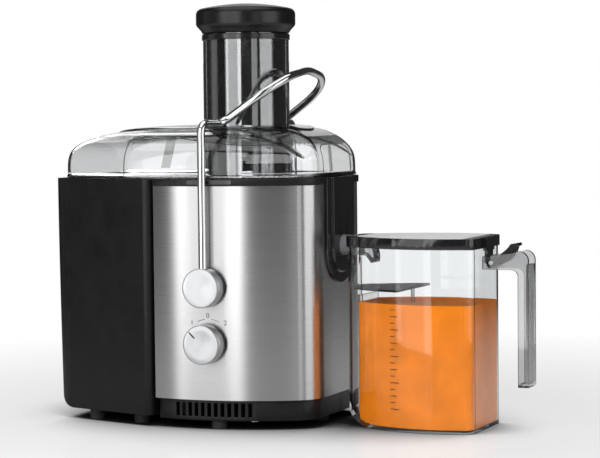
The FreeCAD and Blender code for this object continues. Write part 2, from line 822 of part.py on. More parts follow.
def rotor_parts():
    """Everything that spins below the basket: shaft, core, commutator and fan."""
    add(turned("motor_shaft", [
        ("0", "shaft_low"), ("shaft_radius", "shaft_low"), ("shaft_radius", "shaft_shoulder"),
        ("thread_radius", "shaft_shoulder"), ("thread_radius", "shaft_top"),
        ("0", "shaft_top")]), "motor_shaft")
    add(ring("rotor_core", "shaft_radius", "rotor_radius", "stator_low", "stator_high"),
        "rotor_core")
    add(ring("commutator", "shaft_radius", "commutator_radius", "commutator_low",
             "commutator_high"), "commutator")
    fan = turned("cooling_fan", [
        ("shaft_radius", "fan_low"), ("fan_radius", "fan_low"), ("fan_radius", "fan_low + 1.5"),
        ("fan_hub", "fan_low + 1.5"), ("fan_hub", "fan_high"), ("shaft_radius", "fan_high")])
    blade_sketch = sketch(fan, "XY_Plane", "fan_low + 1")
    loop(blade_sketch, rectangle("fan_hub - 1", "-0.8", "fan_radius - 0.5", "0.8"))
    blade = pad(fan, blade_sketch, "fan_high - fan_low - 1")
    around(fan, blade, blade_sketch, "fan_blades")
    add(fan, "cooling_fan")
    hub = turned("drive_coupling", [
        ("shaft_radius", "coupling_low"), ("coupling_radius", "coupling_low"),
        ("coupling_radius", "coupling_low + 6"), ("coupling_neck", "coupling_low + 6"),
        ("coupling_neck", "basket_floor"), ("shaft_radius", "basket_floor")])
    lug_sketch = sketch(hub, "XY_Plane", "coupling_low + 5")
    loop(lug_sketch, rectangle("coupling_neck - 1", "-lug_half", "coupling_radius - 0.5",
                                  "lug_half"))
    lug = pad(hub, lug_sketch, "basket_floor - coupling_low - 5")
    around(hub, lug, lug_sketch, "3")
    add(hub, "drive_coupling")


TOOTH_ROWS = 3


def strainer_basket():
    """Base, conical sieve, rim, grating disc and the nut that holds them down."""
    add(turned("basket_base", [
        ("thread_radius", "basket_floor"), ("basket_low_radius + 2", "basket_floor"),
        ("basket_low_radius + 2", "basket_floor_top"),
        ("thread_radius", "basket_floor_top")]), "basket_base")
    add(turned("strainer_mesh", [
        ("basket_low_radius", "basket_floor_top"),
        ("basket_low_radius + mesh_gauge", "basket_floor_top"),
        ("basket_top_radius + mesh_gauge", "basket_top"),
        ("basket_top_radius", "basket_top")]), "strainer_mesh")
    add(ring("basket_rim", "basket_top_radius - 1", "basket_rim_radius", "basket_top",
             "basket_rim_top"), "basket_rim")
    disc = ring("grater_disc", "thread_radius", "grater_radius", "basket_floor_top",
                "basket_floor_top + grater_gauge")
    for row in range(TOOTH_ROWS):
        radius = "tooth_first + %d * tooth_step" % row
        tooth_sketch = sketch(disc, "XY_Plane", "basket_floor_top + grater_gauge / 2")
        loop(tooth_sketch, rectangle(radius, "-tooth_half", radius + " + tooth_length",
                                     "tooth_half"))
        tooth = pad(disc, tooth_sketch, "grater_gauge / 2 + tooth_height")
        around(disc, tooth, tooth_sketch, "tooth_count")
    add(disc, "grater_disc")
    nut_low = "(basket_floor_top + grater_gauge)"
    add(turned("basket_nut", [
        ("thread_radius", nut_low), ("nut_radius", nut_low), ("nut_radius", nut_low + " + 5"),
        ("nut_radius - 4", nut_low + " + 9", "4.2"), ("0", nut_low + " + 9"),
        ("0", "shaft_top"), ("thread_radius", "shaft_top")]), "basket_nut")


# ---------------------------------------------------------------- juice bowl

def filter_bowl():
    """Bowl that catches the juice, with a flange, a raised hub and the spout."""
    inner = "(bowl_radius - bowl_wall)"
    floor_top = "(bowl_floor + bowl_wall)"
    bowl = turned("bowl_shell", [
        ("bowl_hub_bore", "bowl_floor"), ("bowl_radius", "bowl_floor"),
        ("bowl_radius", "flange_low"), ("flange_radius", "flange_low"),
        ("flange_radius", "flange_high"), (inner, "flange_high"), (inner, floor_top),
        ("bowl_hub", floor_top), ("bowl_hub", "bowl_hub_top"),
        ("bowl_hub_bore", "bowl_hub_top")])
    tube = rod("spout_tube", "spout_outer", "bowl_radius - 1", "spout_end", ("0", "spout_z"), "x")
    bore = rod("spout_bore_tool", "spout_bore", "bowl_radius - 8", "spout_end + 1",
               ("0", "spout_z"), "x")
    add(cut("filter_bowl", fuse("bowl_and_spout", bowl, tube), bore), "filter_bowl")


def bowl_seals():
    add(ring("bowl_seal", "seal_inner", "seal_outer", "rim_top", "flange_low"), "bowl_seal")
    add(ring("shaft_seal", "shaft_radius + pin_clear", "bowl_hub_bore - 0.05",
             "bowl_hub_top - 8", "bowl_hub_top - 2"), "shaft_seal")


def spout_nozzle():
    """Curved drip nozzle on the end of the spout, pointing down into the jug."""
    outer = side_profile("nozzle_outer", [
        ("spout_end", "spout_z - spout_bore"), ("spout_end + 4", "spout_z - spout_bore - 1"),
        ("spout_end + 10", "spout_z - 15.5", "20", -1), ("spout_end + 12.5", "spout_z - 15", "2"),
        ("spout_end + 8", "spout_z + 4", "24"), ("spout_end", "spout_z + spout_bore", "12")],
        "spout_bore + 1")
    inner = side_profile("nozzle_inner", [
        ("spout_end - 1", "spout_z - spout_bore + 1.5"),
        ("spout_end + 5", "spout_z - spout_bore"), ("spout_end + 11", "spout_z - 20"),
        ("spout_end + 4", "spout_z - 20"), ("spout_end + 4", "spout_z - spout_bore - 3"),
        ("spout_end - 1", "spout_z - spout_bore - 3")], "spout_bore - 1")
    add(cut("spout_nozzle", outer, inner), "spout_nozzle")


# ---------------------------------------------------------------- lid, chute and pusher

def lid_vault(name, inset, drop, base):
    """One vault of the lid: its plan raised to a rounded side profile and end profile."""
    plan = prism(name + "_plan", lid_plan(inset), base, "lid_ceiling")
    left = "(lid_left + %s)" % inset
    right = "(skin_right - lid_inset - %s)" % inset
    low = "lid_low - 5"
    crown = "lid_crown - %s" % drop
    side = side_profile(name + "_side", [
        (left + " - 1", low), (right + " + 1", low), (right + " + 1", crown + " - 36"),
        (right + " - 20", crown + " - 18", "22"), ("44", crown + " - 3"), ("-44", crown),
        (left + " + 36", crown + " - 13"), (left + " - 1", crown + " - 41", "39")],
        "skin_half + 20")
    half = "(skin_half - lid_inset - %s)" % inset
    end = end_profile(name + "_end", [
        ("-(%s + 1)" % half, low), (half + " + 1", low), (half + " + 1", crown + " - 26"),
        (half + " - 9", crown + " - 16", "12"), ("45", crown + " - 2"),
        ("-45", crown + " - 2"), ("-(%s - 9)" % half, crown + " - 16"),
        ("-(%s + 1)" % half, crown + " - 26", "12")],
        left + " - 2", "%s - %s + 4" % (right, left))
    return common(name, plan, side, end)


def bail_room(name, gap):
    """The space left for the lid: all but what the bail's legs sweep on its right."""
    wide, high = "skin_half + 30", "lid_ceiling + 30"
    left = block(name + "_left", ("lid_left - 20", "-(%s)" % wide, "0"),
                 ("bail_x - %s" % gap, wide, high))
    middle = block(name + "_middle", ("bail_x - %s - 1" % gap, "-(bail_room_half - %s)" % gap, "0"),
                   ("skin_right + 20", "bail_room_half - %s" % gap, high))
    swept = rod(name + "_swept", "bail_sweep - %s" % gap, "-(%s)" % wide, wide,
                ("bail_x", "bail_z"), "y")
    return fuse(name, left, middle, swept)


def feed_lid():
    """Clear lid over the basket and the pulp container, with the feed chute through it."""
    rise = "(0 - plateau_rise)"
    vaults = fuse("lid_vaults", lid_vault("lid_skirt", "0", "0", "lid_low"),
                  lid_vault("lid_plateau", "plateau_inset", rise, "lid_low"))
    hollows = fuse("lid_hollows", lid_vault("lid_hollow", "lid_wall", "lid_wall", "lid_low - 4"),
                   lid_vault("plateau_hollow", "(plateau_inset + lid_wall)",
                             "(lid_wall - plateau_rise)", "lid_low - 4"))
    outer = common("lid_outer", vaults, bail_room("outer_room", "0"))
    inner = common("lid_inner", hollows, bail_room("inner_room", "lid_wall"))
    shell = cut("lid_shell", outer, inner, rod("lid_mouth", "chute_outer - 1", "lid_low - 5",
                                               "lid_ceiling + 5"))
    chute = turned("chute_tube", [
        ("chute_bore", "chute_low"), ("chute_outer", "chute_low"), ("chute_outer", "lip_low"),
        ("lip_radius", "lip_low"), ("lip_radius", "chute_top"), ("chute_bore", "chute_top")])
    add(fuse("feed_lid", shell, chute), "feed_lid")


def pusher():
    """Feed pusher: a tube closed below, under a domed cap with a tapered neck."""
    dome = "(cap_top - cap_shoulder)"
    dome_radius = "((cap_radius - 3)^2 + %s^2) / (2 * %s)" % (dome, dome)
    add(turned("pusher_tube", [
        ("0", "pusher_low"), ("pusher_radius", "pusher_low"), ("pusher_radius", "cap_low"),
        ("pusher_radius - pusher_wall", "cap_low"),
        ("pusher_radius - pusher_wall", "pusher_low + pusher_wall"),
        ("0", "pusher_low + pusher_wall")]), "pusher_tube")
    add(turned("pusher_cap", [
        ("0", "cap_low"), ("cap_neck", "cap_low"), ("cap_radius", "cap_low + cap_taper"),
        ("cap_radius", "cap_shoulder - 3"), ("cap_radius - 3", "cap_shoulder", "3"),
        ("0", "cap_top", dome_radius)]), "pusher_cap")


# ---------------------------------------------------------------- pulp container

def pulp_solid(name, inset, floor, top):
    """The container's outer form or its hollow: plan, side profile and the hollowed side
    that fits round the machine's waist."""
    block_plan = prism(name + "_plan", cup_plan(
        "(pulp_left_top - 2 + %s)" % inset, "(pulp_right - %s)" % inset,
        "(pulp_half_left - %s)" % inset, "(pulp_half_right - %s)" % inset,
        "pulp_corner_left", "pulp_corner_right"), floor, top)
    waist = rod(name + "_waist", "machine_waist + pulp_gap + " + inset, "0", "rim_top + 20")
    plan = cut(name + "_round", block_plan, waist)
    low = "(pulp_low + %s)" % inset
    profile = side_profile(name + "_side", [
        ("pulp_left + %s + pulp_bottom_round" % inset, low, "pulp_bottom_round"),
        ("pulp_right + 5", low),
        ("pulp_right + 5", "rim_top + 10"), ("pulp_left_top + %s" % inset, "rim_top + 10"),
        ("pulp_left + %s" % inset, low + " + pulp_bottom_round")],
        "pulp_half_right + 10")
    return common(name, plan, profile)


def pulp_container():
    outer = pulp_solid("pulp_outer", "0", "pulp_low", "rim_top")
    hollow = pulp_solid("pulp_hollow", "pulp_wall", "pulp_low + pulp_wall", "rim_top + 2")
    add(cut("pulp_container", outer, hollow), "pulp_container")


# ---------------------------------------------------------------- bail and knobs

def rounded_wire(points, radii):
    """Straight runs through the points with a tangent arc at each inner point."""
    edges = []
    start = points[0]
    for index in range(1, len(points) - 1):
        before = (points[index - 1] - points[index]).normalize()
        after = (points[index + 1] - points[index]).normalize()
        half_turn = (math.pi - before.getAngle(after)) / 2
        setback = radii[index - 1] * math.tan(half_turn)
        enter = points[index] + before * setback
        leave = points[index] + after * setback
        inward = (before + after).normalize()
        centre = points[index] + inward * (radii[index - 1] / math.cos(half_turn))
        middle = centre - inward * radii[index - 1]
        edges.append(Part.LineSegment(start, enter).toShape())
        edges.append(Part.Arc(enter, middle, leave).toShape())
        start = leave
    edges.append(Part.LineSegment(start, points[-1]).toShape())
    return Part.Wire(edges)


BAIL_ROUTE = ((0.0, 1.0, 138.0), (0.0, 1.0, 280.0), (4.0, 0.65, 280.0), (60.5, 0.59, 319.5))
BAIL_TOP = (61.5, 329.5)
BAIL_BENDS = (9.0, 12.0, 44.0)
BAIL_TOP_BEND = 80.0


def locking_bail():
    """Chromed wire: a leg up each side, turned in over the lid, and an arch that leans to
    the right round the chute.  The route gives x past the pivot, y as a share of the leg's
    and z, for the front half; the top is x past the pivot and z in the middle plane."""
    pivot, leg, radius = value("bail_x"), value("leg_y"), value("wire_radius")
    front = [FreeCAD.Vector(pivot + x, -share * leg, z) for x, share, z in BAIL_ROUTE]
    back = [FreeCAD.Vector(point.x, -point.y, point.z) for point in reversed(front)]
    top = FreeCAD.Vector(pivot + BAIL_TOP[0], 0, BAIL_TOP[1])
    bends = BAIL_BENDS + (BAIL_TOP_BEND,) + tuple(reversed(BAIL_BENDS))
    path = rounded_wire(front + [top] + back, bends)
    section = Part.Wire(Part.makeCircle(radius, front[0], FreeCAD.Vector(0, 0, 1)))
    bail = doc.addObject("Part::Feature", "locking_bail")
    bail.Shape = path.makePipeShell([section], True, True)
    expected = math.pi * radius ** 2 * path.Length
    print("bail wire: length %.1f mm, volume %.0f of %.0f mm3, bend radii %s"
          % (path.Length, bail.Shape.Volume, expected, bends))
    add(bail, "locking_bail")


def bail_knob(label, sign):
    """Round knob with a blind hole for the end of the wire's leg."""
    near, far = ("knob_near", "knob_far") if sign > 0 else ("-knob_far", "-knob_near")
    disc = rod(label + "_disc", "knob_radius", near, far, ("bail_x", "bail_z"), "y")
    leg_hole = rod(label + "_leg_hole", "wire_radius + 0.05", "leg_foot",
                   "bail_z + knob_radius + 5", ("bail_x", "%d * leg_y" % sign), "z")
    add(cut(label, disc, leg_hole), label)


def bail_pins():
    """Pivot pins fixed in the knobs and running in the bushes."""
    pins = []
    for sign, side in ((-1, "front"), (1, "back")):
        near, far = ("pin_inner", "knob_near") if sign > 0 else ("-knob_near", "-pin_inner")
        pins.append(rod("bail_pin_" + side, "pin_radius", near, far, ("bail_x", "bail_z"), "y"))
    add(group("bail_pins", pins), "bail_pins")


def pivot_bushes():
    """Flanged black bushes in the front and back walls for the bail's pins."""
    pieces = []
    for sign, side in ((-1, "front"), (1, "back")):
        def span(inner, outer):
            return (inner, outer) if sign > 0 else ("-(%s)" % outer, "-(%s)" % inner)
        sleeve_near, sleeve_far = span("bush_inner", "skin_half + 0.1")
        flange_near, flange_far = span("skin_half + 0.1", "skin_half + 1.3")
        bore_near, bore_far = span("pin_inner - 2", "knob_far")
        centre = ("bail_x", "bail_z")
        sleeve = rod("bush_sleeve_" + side, "collar_radius", sleeve_near, sleeve_far, centre, "y")
        flange = rod("bush_flange_" + side, "bush_flange", flange_near, flange_far, centre, "y")
        bore = rod("bush_bore_" + side, "pin_radius + pin_clear", bore_near, bore_far, centre, "y")
        pieces.append(cut("bush_" + side, fuse("bush_solid_" + side, sleeve, flange), bore))
    add(group("pivot_bushes", pieces), "pivot_bushes")


def dial_collar():
    """Black collar behind the speed knob, set into the bowed front."""
    centre = ("bail_x", "dial_z")
    neck = rod("dial_neck", "collar_radius", "-(skin_half + 0.1)", "-(switch_far + 0.2)",
               centre, "y")
    flange = rod("dial_flange", "bush_flange", "-(skin_half + 1.3)", "-(skin_half + 0.1)",
                 centre, "y")
    bore = rod("dial_clearance", "spindle_radius + 1.5", "-knob_far", "-switch_near", centre, "y")
    add(cut("dial_collar", fuse("dial_collar_solid", neck, flange), bore), "dial_collar")


# ---------------------------------------------------------------- switches and board

def speed_control():
    """Rotary switch, its spindle and the speed knob with a pointer ridge."""
    low = ("bail_x - switch_half", "-switch_far", "dial_z - switch_half")
    high = ("bail_x + switch_half", "-switch_near", "dial_z + switch_half")
    bore = rod("switch_bore", "spindle_radius + pin_clear", "-(switch_far + 2)",
               "-(switch_near - 2)", ("bail_x", "dial_z"), "y")
    add(cut("rotary_switch", block("switch_case", low, high), bore), "rotary_switch")
    spindle = rod("spindle_rod", "spindle_radius", "-knob_near", "-(switch_near + 2)",
                  ("bail_x", "dial_z"), "y")
    add(group("switch_spindle", [spindle]), "switch_spindle")
    disc = rod("dial_disc", "knob_radius", "-knob_far", "-knob_near", ("bail_x", "dial_z"), "y")
    add(group("speed_knob", [disc]), "speed_knob")


def electrics():
    """Interlock switch beside the back pivot and the speed control board."""
    interlock = block(
        "interlock_case",
        ("bail_x + interlock_left", "interlock_near", "bail_z - interlock_half"),
        ("bail_x + interlock_right", "interlock_far", "bail_z + interlock_half"))
    add(group("interlock_switch", [interlock]), "interlock_switch")
    board = block("board_plate", ("board_x", "board_front", "board_low"),
                  ("board_x + board_gauge", "board_back", "board_high"))
    add(group("control_board", [board]), "control_board")


# ---------------------------------------------------------------- jug

def jug_plan(inset):
    """The jug's plan, inset all round."""
    return cup_plan("(jug_left + %s)" % inset, "(jug_right - %s)" % inset,
                    "(jug_half_left - %s)" % inset, "(jug_half_right - %s)" % inset,
                    "(jug_corner_left - %s / 2)" % inset, "(jug_corner_right - %s / 2)" % inset,
                    "(jug_bow - %s)" % inset)


def jug_solid(name, inset, floor, top):
    """The jug's outer form or its hollow, with the big rounding under its left end."""
    plan = prism(name + "_plan", jug_plan(inset), floor, top)
    left = "(jug_left + %s)" % inset
    profile = side_profile(name + "_side", [
        (left + " + jug_round", floor, "jug_round"), ("jug_right + 5", floor),
        ("jug_right + 5", "jug_top + 10"), (left, "jug_top + 10"),
        (left, "%s + jug_round" % floor)],
        "jug_half_right + 30")
    return common(name, plan, profile)


def jug_shell():
    """Clear jug with a notch in its left rim that lets the spout in."""
    outer = jug_solid("jug_outer", "0", "0", "jug_top")
    hollow = jug_solid("jug_hollow", "jug_wall", "jug_floor", "jug_top + 5")
    notch = end_profile("jug_notch", round_foot("notch_half", "spout_z - 8", "jug_top + 5"),
                        "jug_left - 5", "15")
    add(cut("jug_shell", outer, hollow, notch), "jug_shell")


def jug_handle():
    """Two arms from the right wall that carry a hollow-backed grip."""
    rails = []
    for sign, side in ((-1, "front"), (1, "back")):
        near = "%d * handle_half - %s" % (sign, "0" if sign < 0 else "rail_plate")
        far = "%d * handle_half + %s" % (sign, "rail_plate" if sign < 0 else "0")
        rail = new_body("rail_" + side)
        drawing = sketch(rail, "XZ_Plane", "-(%s)" % far)
        loop(drawing, [
            ("jug_right", "arm_low"), ("handle_near - 6", "arm_low"),
            ("handle_near", "arm_low - 6", "6", -1), ("handle_near", "handle_low"),
            ("handle_far", "handle_low"), ("handle_far", "handle_top - 9"),
            ("handle_far - 9", "handle_top", "9"), ("handle_near - 4", "arm_high + 3"),
            ("jug_right", "arm_high")])
        pad(rail, drawing, "(%s) - (%s)" % (far, near))
        rails.append(rail)
    web = block("grip_web", ("handle_far - 2.6", "-handle_half", "handle_low"),
                ("handle_far", "handle_half", "handle_top - 12"))
    foot = block("grip_foot", ("handle_near", "-handle_half", "handle_low"),
                 ("handle_far", "handle_half", "handle_low + 3"))
    bores = rod("handle_pin_bore", "hinge_pin", "-20", "20", ("hinge_x", "hinge_z"), "y")
    add(cut("jug_handle", fuse("handle_solid", rails[0], rails[1], web, foot), bores),
        "jug_handle")


def foam_separator():
    """Shelf under the spout with a leg down to the jug's floor."""
    plate = prism("shelf_plate_solid", jug_plan("(jug_wall + 0.3)"), "shelf_z",
                  "shelf_z + shelf_plate")
    keep = block("shelf_keep", ("jug_left", "-60", "shelf_z - 1"),
                 ("shelf_right", "60", "shelf_z + shelf_plate + 1"))
    leg = block("shelf_leg", ("shelf_right - 2", "-2.5", "jug_floor + 0.2"),
                ("shelf_right", "2.5", "shelf_z"))
    add(fuse("foam_separator", common("shelf", plate, keep), leg), "foam_separator")


def lid_pin():
    pin = rod("hinge_rod", "hinge_pin", "-(handle_half - 0.5)", "handle_half - 0.5",
              ("hinge_x", "hinge_z"), "y")
    add(group("lid_pin", [pin]), "lid_pin")


def jug_lid():
    """Black lid with a notch over the spout and a strap down to the hinge."""
    proud = "(0 - jug_lid_proud)"
    plate = prism("jug_lid_plate", jug_plan(proud), "jug_lid_low", "jug_lid_high")
    hollow = prism("jug_lid_hollow", jug_plan("4"), "jug_lid_low - 1", "jug_lid_high - 3")
    notch = end_profile("jug_lid_notch", [
        ("-notch_half", "jug_lid_low - 2"), ("notch_half", "jug_lid_low - 2"),
        ("notch_half", "jug_lid_high + 2"), ("-notch_half", "jug_lid_high + 2")],
        "jug_left - 5", "notch_right - jug_left + 5")
    half = "(handle_half - rail_plate - 0.4)"
    strap = block("strap_plate", ("jug_right + 1", "-handle_half", "arm_high + 5"),
                  ("jug_right + 4", "handle_half", "jug_lid_high - 1"))
    tail = block("strap_tail", ("jug_right + 1", "-" + half, "hinge_z"),
                 ("jug_right + 4", half, "arm_high + 5.5"))
    barrel = rod("hinge_barrel", "barrel_radius", "-" + half, half, ("hinge_x", "hinge_z"), "y")
    bore = rod("barrel_bore", "hinge_pin + pin_clear", "-20", "20", ("hinge_x", "hinge_z"), "y")
    shell = cut("jug_lid_shell", plate, hollow, notch)
    add(cut("jug_lid", fuse("jug_lid_solid", shell, strap, tail, barrel), bore), "jug_lid")


def thumb_lever():
    """Curved lever over the handle's arms that tips the lid open."""
    half = "(handle_half - rail_plate - 0.6)"
    lever = side_profile("thumb_lever", [
        ("hinge_x + 5.5", "hinge_z - 2"), ("hinge_x + 12", "hinge_z + 1"),
        ("hinge_x + 21", "hinge_z + 14", "20"), ("hinge_x + 24", "hinge_z + 16"),
        ("hinge_x + 23", "hinge_z + 18"), ("hinge_x + 17", "hinge_z + 17"),
        ("hinge_x + 9", "hinge_z + 9", "24", -1), ("hinge_x + 5.5", "hinge_z + 4")], half)
    add(lever, "thumb_lever")


# ---------------------------------------------------------------- build and export

base_pan()
feet("base_feet", BASE_FEET, "base_low")
base_screws()
motor_housing()
steel_wrap()
top_rim()
spout_panel()
cord_inlet()
motor_brackets()
bearings()
motor_stator()
field_coils()
brush_gear()
motor_mounts()
rotor_parts()
strainer_basket()
filter_bowl()
bowl_seals()
spout_nozzle()
feed_lid()
pusher()
pulp_container()
feet("pulp_feet", PULP_FEET, "pulp_low")
locking_bail()
bail_knob("front_bail_knob", -1)
bail_knob("rear_bail_knob", 1)
bail_pins()
pivot_bushes()
dial_collar()
speed_control()
electrics()
jug_shell()
jug_handle()
foam_separator()
lid_pin()
jug_lid()
thumb_lever()

doc.recompute()
for thing in doc.Objects:
    if "Invalid" in thing.State or "Error" in thing.State:
        raise RuntimeError("%s failed: %s" % (thing.Name, thing.State))
box = FreeCAD.BoundBox()
for subpart in SUBPARTS:
    if subpart.Shape.isNull() or not subpart.Shape.isValid():
        raise RuntimeError("%s has no valid shape" % subpart.Label)
    box.add(subpart.Shape.BoundBox)

os.makedirs("parts", exist_ok=True)
for subpart in SUBPARTS:
    subpart.Shape.exportStep(os.path.join("parts", subpart.Label + ".step"))
print("%d sub-parts, box X %.1f to %.1f, Y %.1f to %.1f, Z %.1f to %.1f"
      % (len(SUBPARTS), box.XMin, box.XMax, box.YMin, box.YMax, box.ZMin, box.ZMax))
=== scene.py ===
import math

import bmesh
import bpy
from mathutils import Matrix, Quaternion, Vector


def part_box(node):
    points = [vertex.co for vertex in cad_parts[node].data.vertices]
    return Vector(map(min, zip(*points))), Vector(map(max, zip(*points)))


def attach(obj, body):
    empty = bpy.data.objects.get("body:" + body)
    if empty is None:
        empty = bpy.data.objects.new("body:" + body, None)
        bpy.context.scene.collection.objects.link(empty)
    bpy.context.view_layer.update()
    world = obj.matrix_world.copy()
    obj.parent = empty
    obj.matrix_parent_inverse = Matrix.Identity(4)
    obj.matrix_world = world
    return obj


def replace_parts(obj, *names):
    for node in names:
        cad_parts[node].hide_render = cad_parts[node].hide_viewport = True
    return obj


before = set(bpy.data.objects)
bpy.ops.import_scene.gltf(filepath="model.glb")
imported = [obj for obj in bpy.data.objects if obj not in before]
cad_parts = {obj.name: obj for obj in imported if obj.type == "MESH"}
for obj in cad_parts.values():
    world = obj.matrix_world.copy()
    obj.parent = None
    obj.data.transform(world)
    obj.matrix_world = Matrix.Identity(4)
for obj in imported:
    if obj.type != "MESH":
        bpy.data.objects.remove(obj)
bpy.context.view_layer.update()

scene = bpy.context.scene
MM = 0.001
CAP_LOW, CAP_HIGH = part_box("pusher_cap")
AXIS_X = (CAP_LOW.x + CAP_HIGH.x) / 2


def at(x, y, z):
    """A point given in millimetres from the machine's own axis and the floor."""
    return Vector((AXIS_X + x * MM, y * MM, z * MM))


# ---------------------------------------------------------------- node trees


class Shader:
    """One material with a Principled surface and short helpers for its pattern."""

    def __init__(self, name, color, roughness, metallic=0.0, **sockets):
        self.material = bpy.data.materials.new(name)
        self.material.use_nodes = True
        self.tree = self.material.node_tree
        self.tree.nodes.clear()
        self.surface = self.new("ShaderNodeBsdfPrincipled")
        self.output = self.new("ShaderNodeOutputMaterial")
        self.link(self.surface, 0, self.output, "Surface")
        self.surface.inputs["Base Color"].default_value = (*color, 1.0)
        self.surface.inputs["Roughness"].default_value = roughness
        self.surface.inputs["Metallic"].default_value = metallic
        for socket, number in sockets.items():
            self.surface.inputs[socket.replace("_", " ")].default_value = number
        self.place = None

    def new(self, kind, **settings):
        """A new node with its settings."""
        node = self.tree.nodes.new(kind)
        for key, number in settings.items():
            setattr(node, key, number)
        return node

    def link(self, source, output, target, socket):
        self.tree.links.new(source.outputs[output], target.inputs[socket])

    def object_place(self, stretch=(1.0, 1.0, 1.0)):
        """The object's own coordinates, stretched along its axes."""
        if self.place is None:
            self.place = self.new("ShaderNodeTexCoord")
        mapping = self.new("ShaderNodeMapping")
        mapping.inputs["Scale"].default_value = stretch
        self.link(self.place, "Object", mapping, "Vector")
        return mapping

    def noise(self, scale, detail=2.0, stretch=(1.0, 1.0, 1.0)):
        """A cloudy pattern fixed to the object."""
        node = self.new("ShaderNodeTexNoise")
        node.inputs["Scale"].default_value = scale
        node.inputs["Detail"].default_value = detail
        self.link(self.object_place(stretch), 0, node, "Vector")
        return node

    def spread(self, source, output, low, high, start=0.3, end=0.7):
        """A number that runs from low to high as the pattern runs from start to end."""
        node = self.new("ShaderNodeMapRange")
        node.inputs["From Min"].default_value = start
        node.inputs["From Max"].default_value = end
        node.inputs["To Min"].default_value = low
        node.inputs["To Max"].default_value = high
        self.link(source, output, node, "Value")
        return node

    def vary_roughness(self, pattern, low, high):
        """Lets the roughness follow a pattern."""
        self.link(self.spread(pattern, 0, low, high), 0, self.surface, "Roughness")

    def vary_color(self, pattern, first, second):
        """Lets the colour run from first to second with a pattern."""
        node = self.new("ShaderNodeValToRGB")
        for element, place, color in zip(node.color_ramp.elements, (0.3, 0.7), (first, second)):
            element.position = place
            element.color = (*color, 1.0)
        self.link(pattern, 0, node, 0)
        self.link(node, 0, self.surface, "Base Color")

    def bump(self, pattern, output, depth, strength=1.0):
        """Raises the surface by the pattern, depth in metres."""
        node = self.new("ShaderNodeBump")
        node.inputs["Strength"].default_value = strength
        node.inputs["Distance"].default_value = depth
        self.link(pattern, output, node, "Height")
        self.link(node, 0, self.surface, "Normal")

    def let_light_in(self, tint):
        """Lets lamp light through a clear wall, tinted, so that what is inside is lit."""
        path = self.new("ShaderNodeLightPath")
        clear = self.new("ShaderNodeBsdfTransparent")
        clear.inputs["Color"].default_value = (*tint, 1.0)
        mix = self.new("ShaderNodeMixShader")
        self.link(path, "Is Shadow Ray", mix, 0)
        self.link(self.surface, 0, mix, 1)
        self.link(clear, 0, mix, 2)
        self.link(mix, 0, self.output, "Surface")


def brushed_steel():
    """Stainless sheet with fine level brush lines."""
    shader = Shader("steel_skin", (0.56, 0.56, 0.565), 0.3, 1.0, Anisotropic=0.85, Anisotropic_Rotation=0.25)
    tangent = shader.new("ShaderNodeTangent", direction_type="RADIAL", axis="Z")
    shader.link(tangent, 0, shader.surface, "Tangent")
    lines = shader.noise(1.0, 3.0, (7.0, 7.0, 6500.0))
    shader.vary_color(lines, (0.54, 0.54, 0.545), (0.58, 0.58, 0.585))
    shader.vary_roughness(lines, 0.27, 0.32)
    shader.bump(lines, 0, 0.000004, 0.5)
    return shader.material


def moulded(name, color, roughness, grain=0.00002, scale=1600.0, coat=0.0, level=0.5):
    """Moulded plastic with a fine grain, slight colour change and a few softer patches."""
    shader = Shader(name, color, roughness, 0.0, Coat_Weight=coat, Coat_Roughness=0.08,
                    Specular_IOR_Level=level)
    lighter = tuple(min(1.0, c * 1.3 + 0.001) for c in color)
    shader.vary_color(shader.noise(38.0, 4.0), color, lighter)
    shader.vary_roughness(shader.noise(60.0, 5.0), roughness * 0.85, min(1.0, roughness * 1.2))
    shader.bump(shader.noise(scale, 2.0), 0, grain, 0.6)
    return shader.material


def polished(name, color, low, high, grain=0.000004):
    """Plated or polished metal with faint wiping marks."""
    shader = Shader(name, color, low, 1.0)
    shader.vary_roughness(shader.noise(120.0, 4.0, (1.0, 1.0, 0.25)), low, high)
    shader.bump(shader.noise(500.0, 2.0), 0, grain, 0.4)
    return shader.material


def polished_black():
    """Piano-black plastic with a bright, sharp gloss."""
    shader = Shader("polished_black", (0.004, 0.004, 0.004), 0.09, 0.0, IOR=2.5, Coat_Weight=1.0,
                    Coat_Roughness=0.03, Coat_IOR=2.1)
    shader.vary_roughness(shader.noise(60.0, 4.0, (1.0, 1.0, 0.2)), 0.07, 0.12)
    shader.bump(shader.noise(30.0, 1.0, (1.0, 1.0, 0.15)), 0, 0.00002, 0.25)
    return shader.material


def rough_metal(name, color, second, low, high, grain=0.00003, scale=600.0, metallic=1.0):
    """Cast, rolled or plated metal with a mottled colour."""
    shader = Shader(name, color, low, metallic)
    shader.vary_color(shader.noise(90.0, 5.0), color, second)
    shader.vary_roughness(shader.noise(150.0, 4.0), low, high)
    shader.bump(shader.noise(scale, 3.0), 0, grain, 0.6)
    return shader.material


def clear_plastic(name, tint, roughness, shadow_tint, ior=1.49):
    """Clear moulded plastic with faint flow marks."""
    shader = Shader(name, tint, roughness, 0.0, IOR=ior, Transmission_Weight=1.0)
    shader.vary_roughness(shader.noise(90.0, 4.0, (1.0, 1.0, 0.3)), roughness, roughness + 0.03)
    shader.bump(shader.noise(45.0, 2.0), 0, 0.00003, 0.3)
    shader.let_light_in(shadow_tint)
    return shader.material


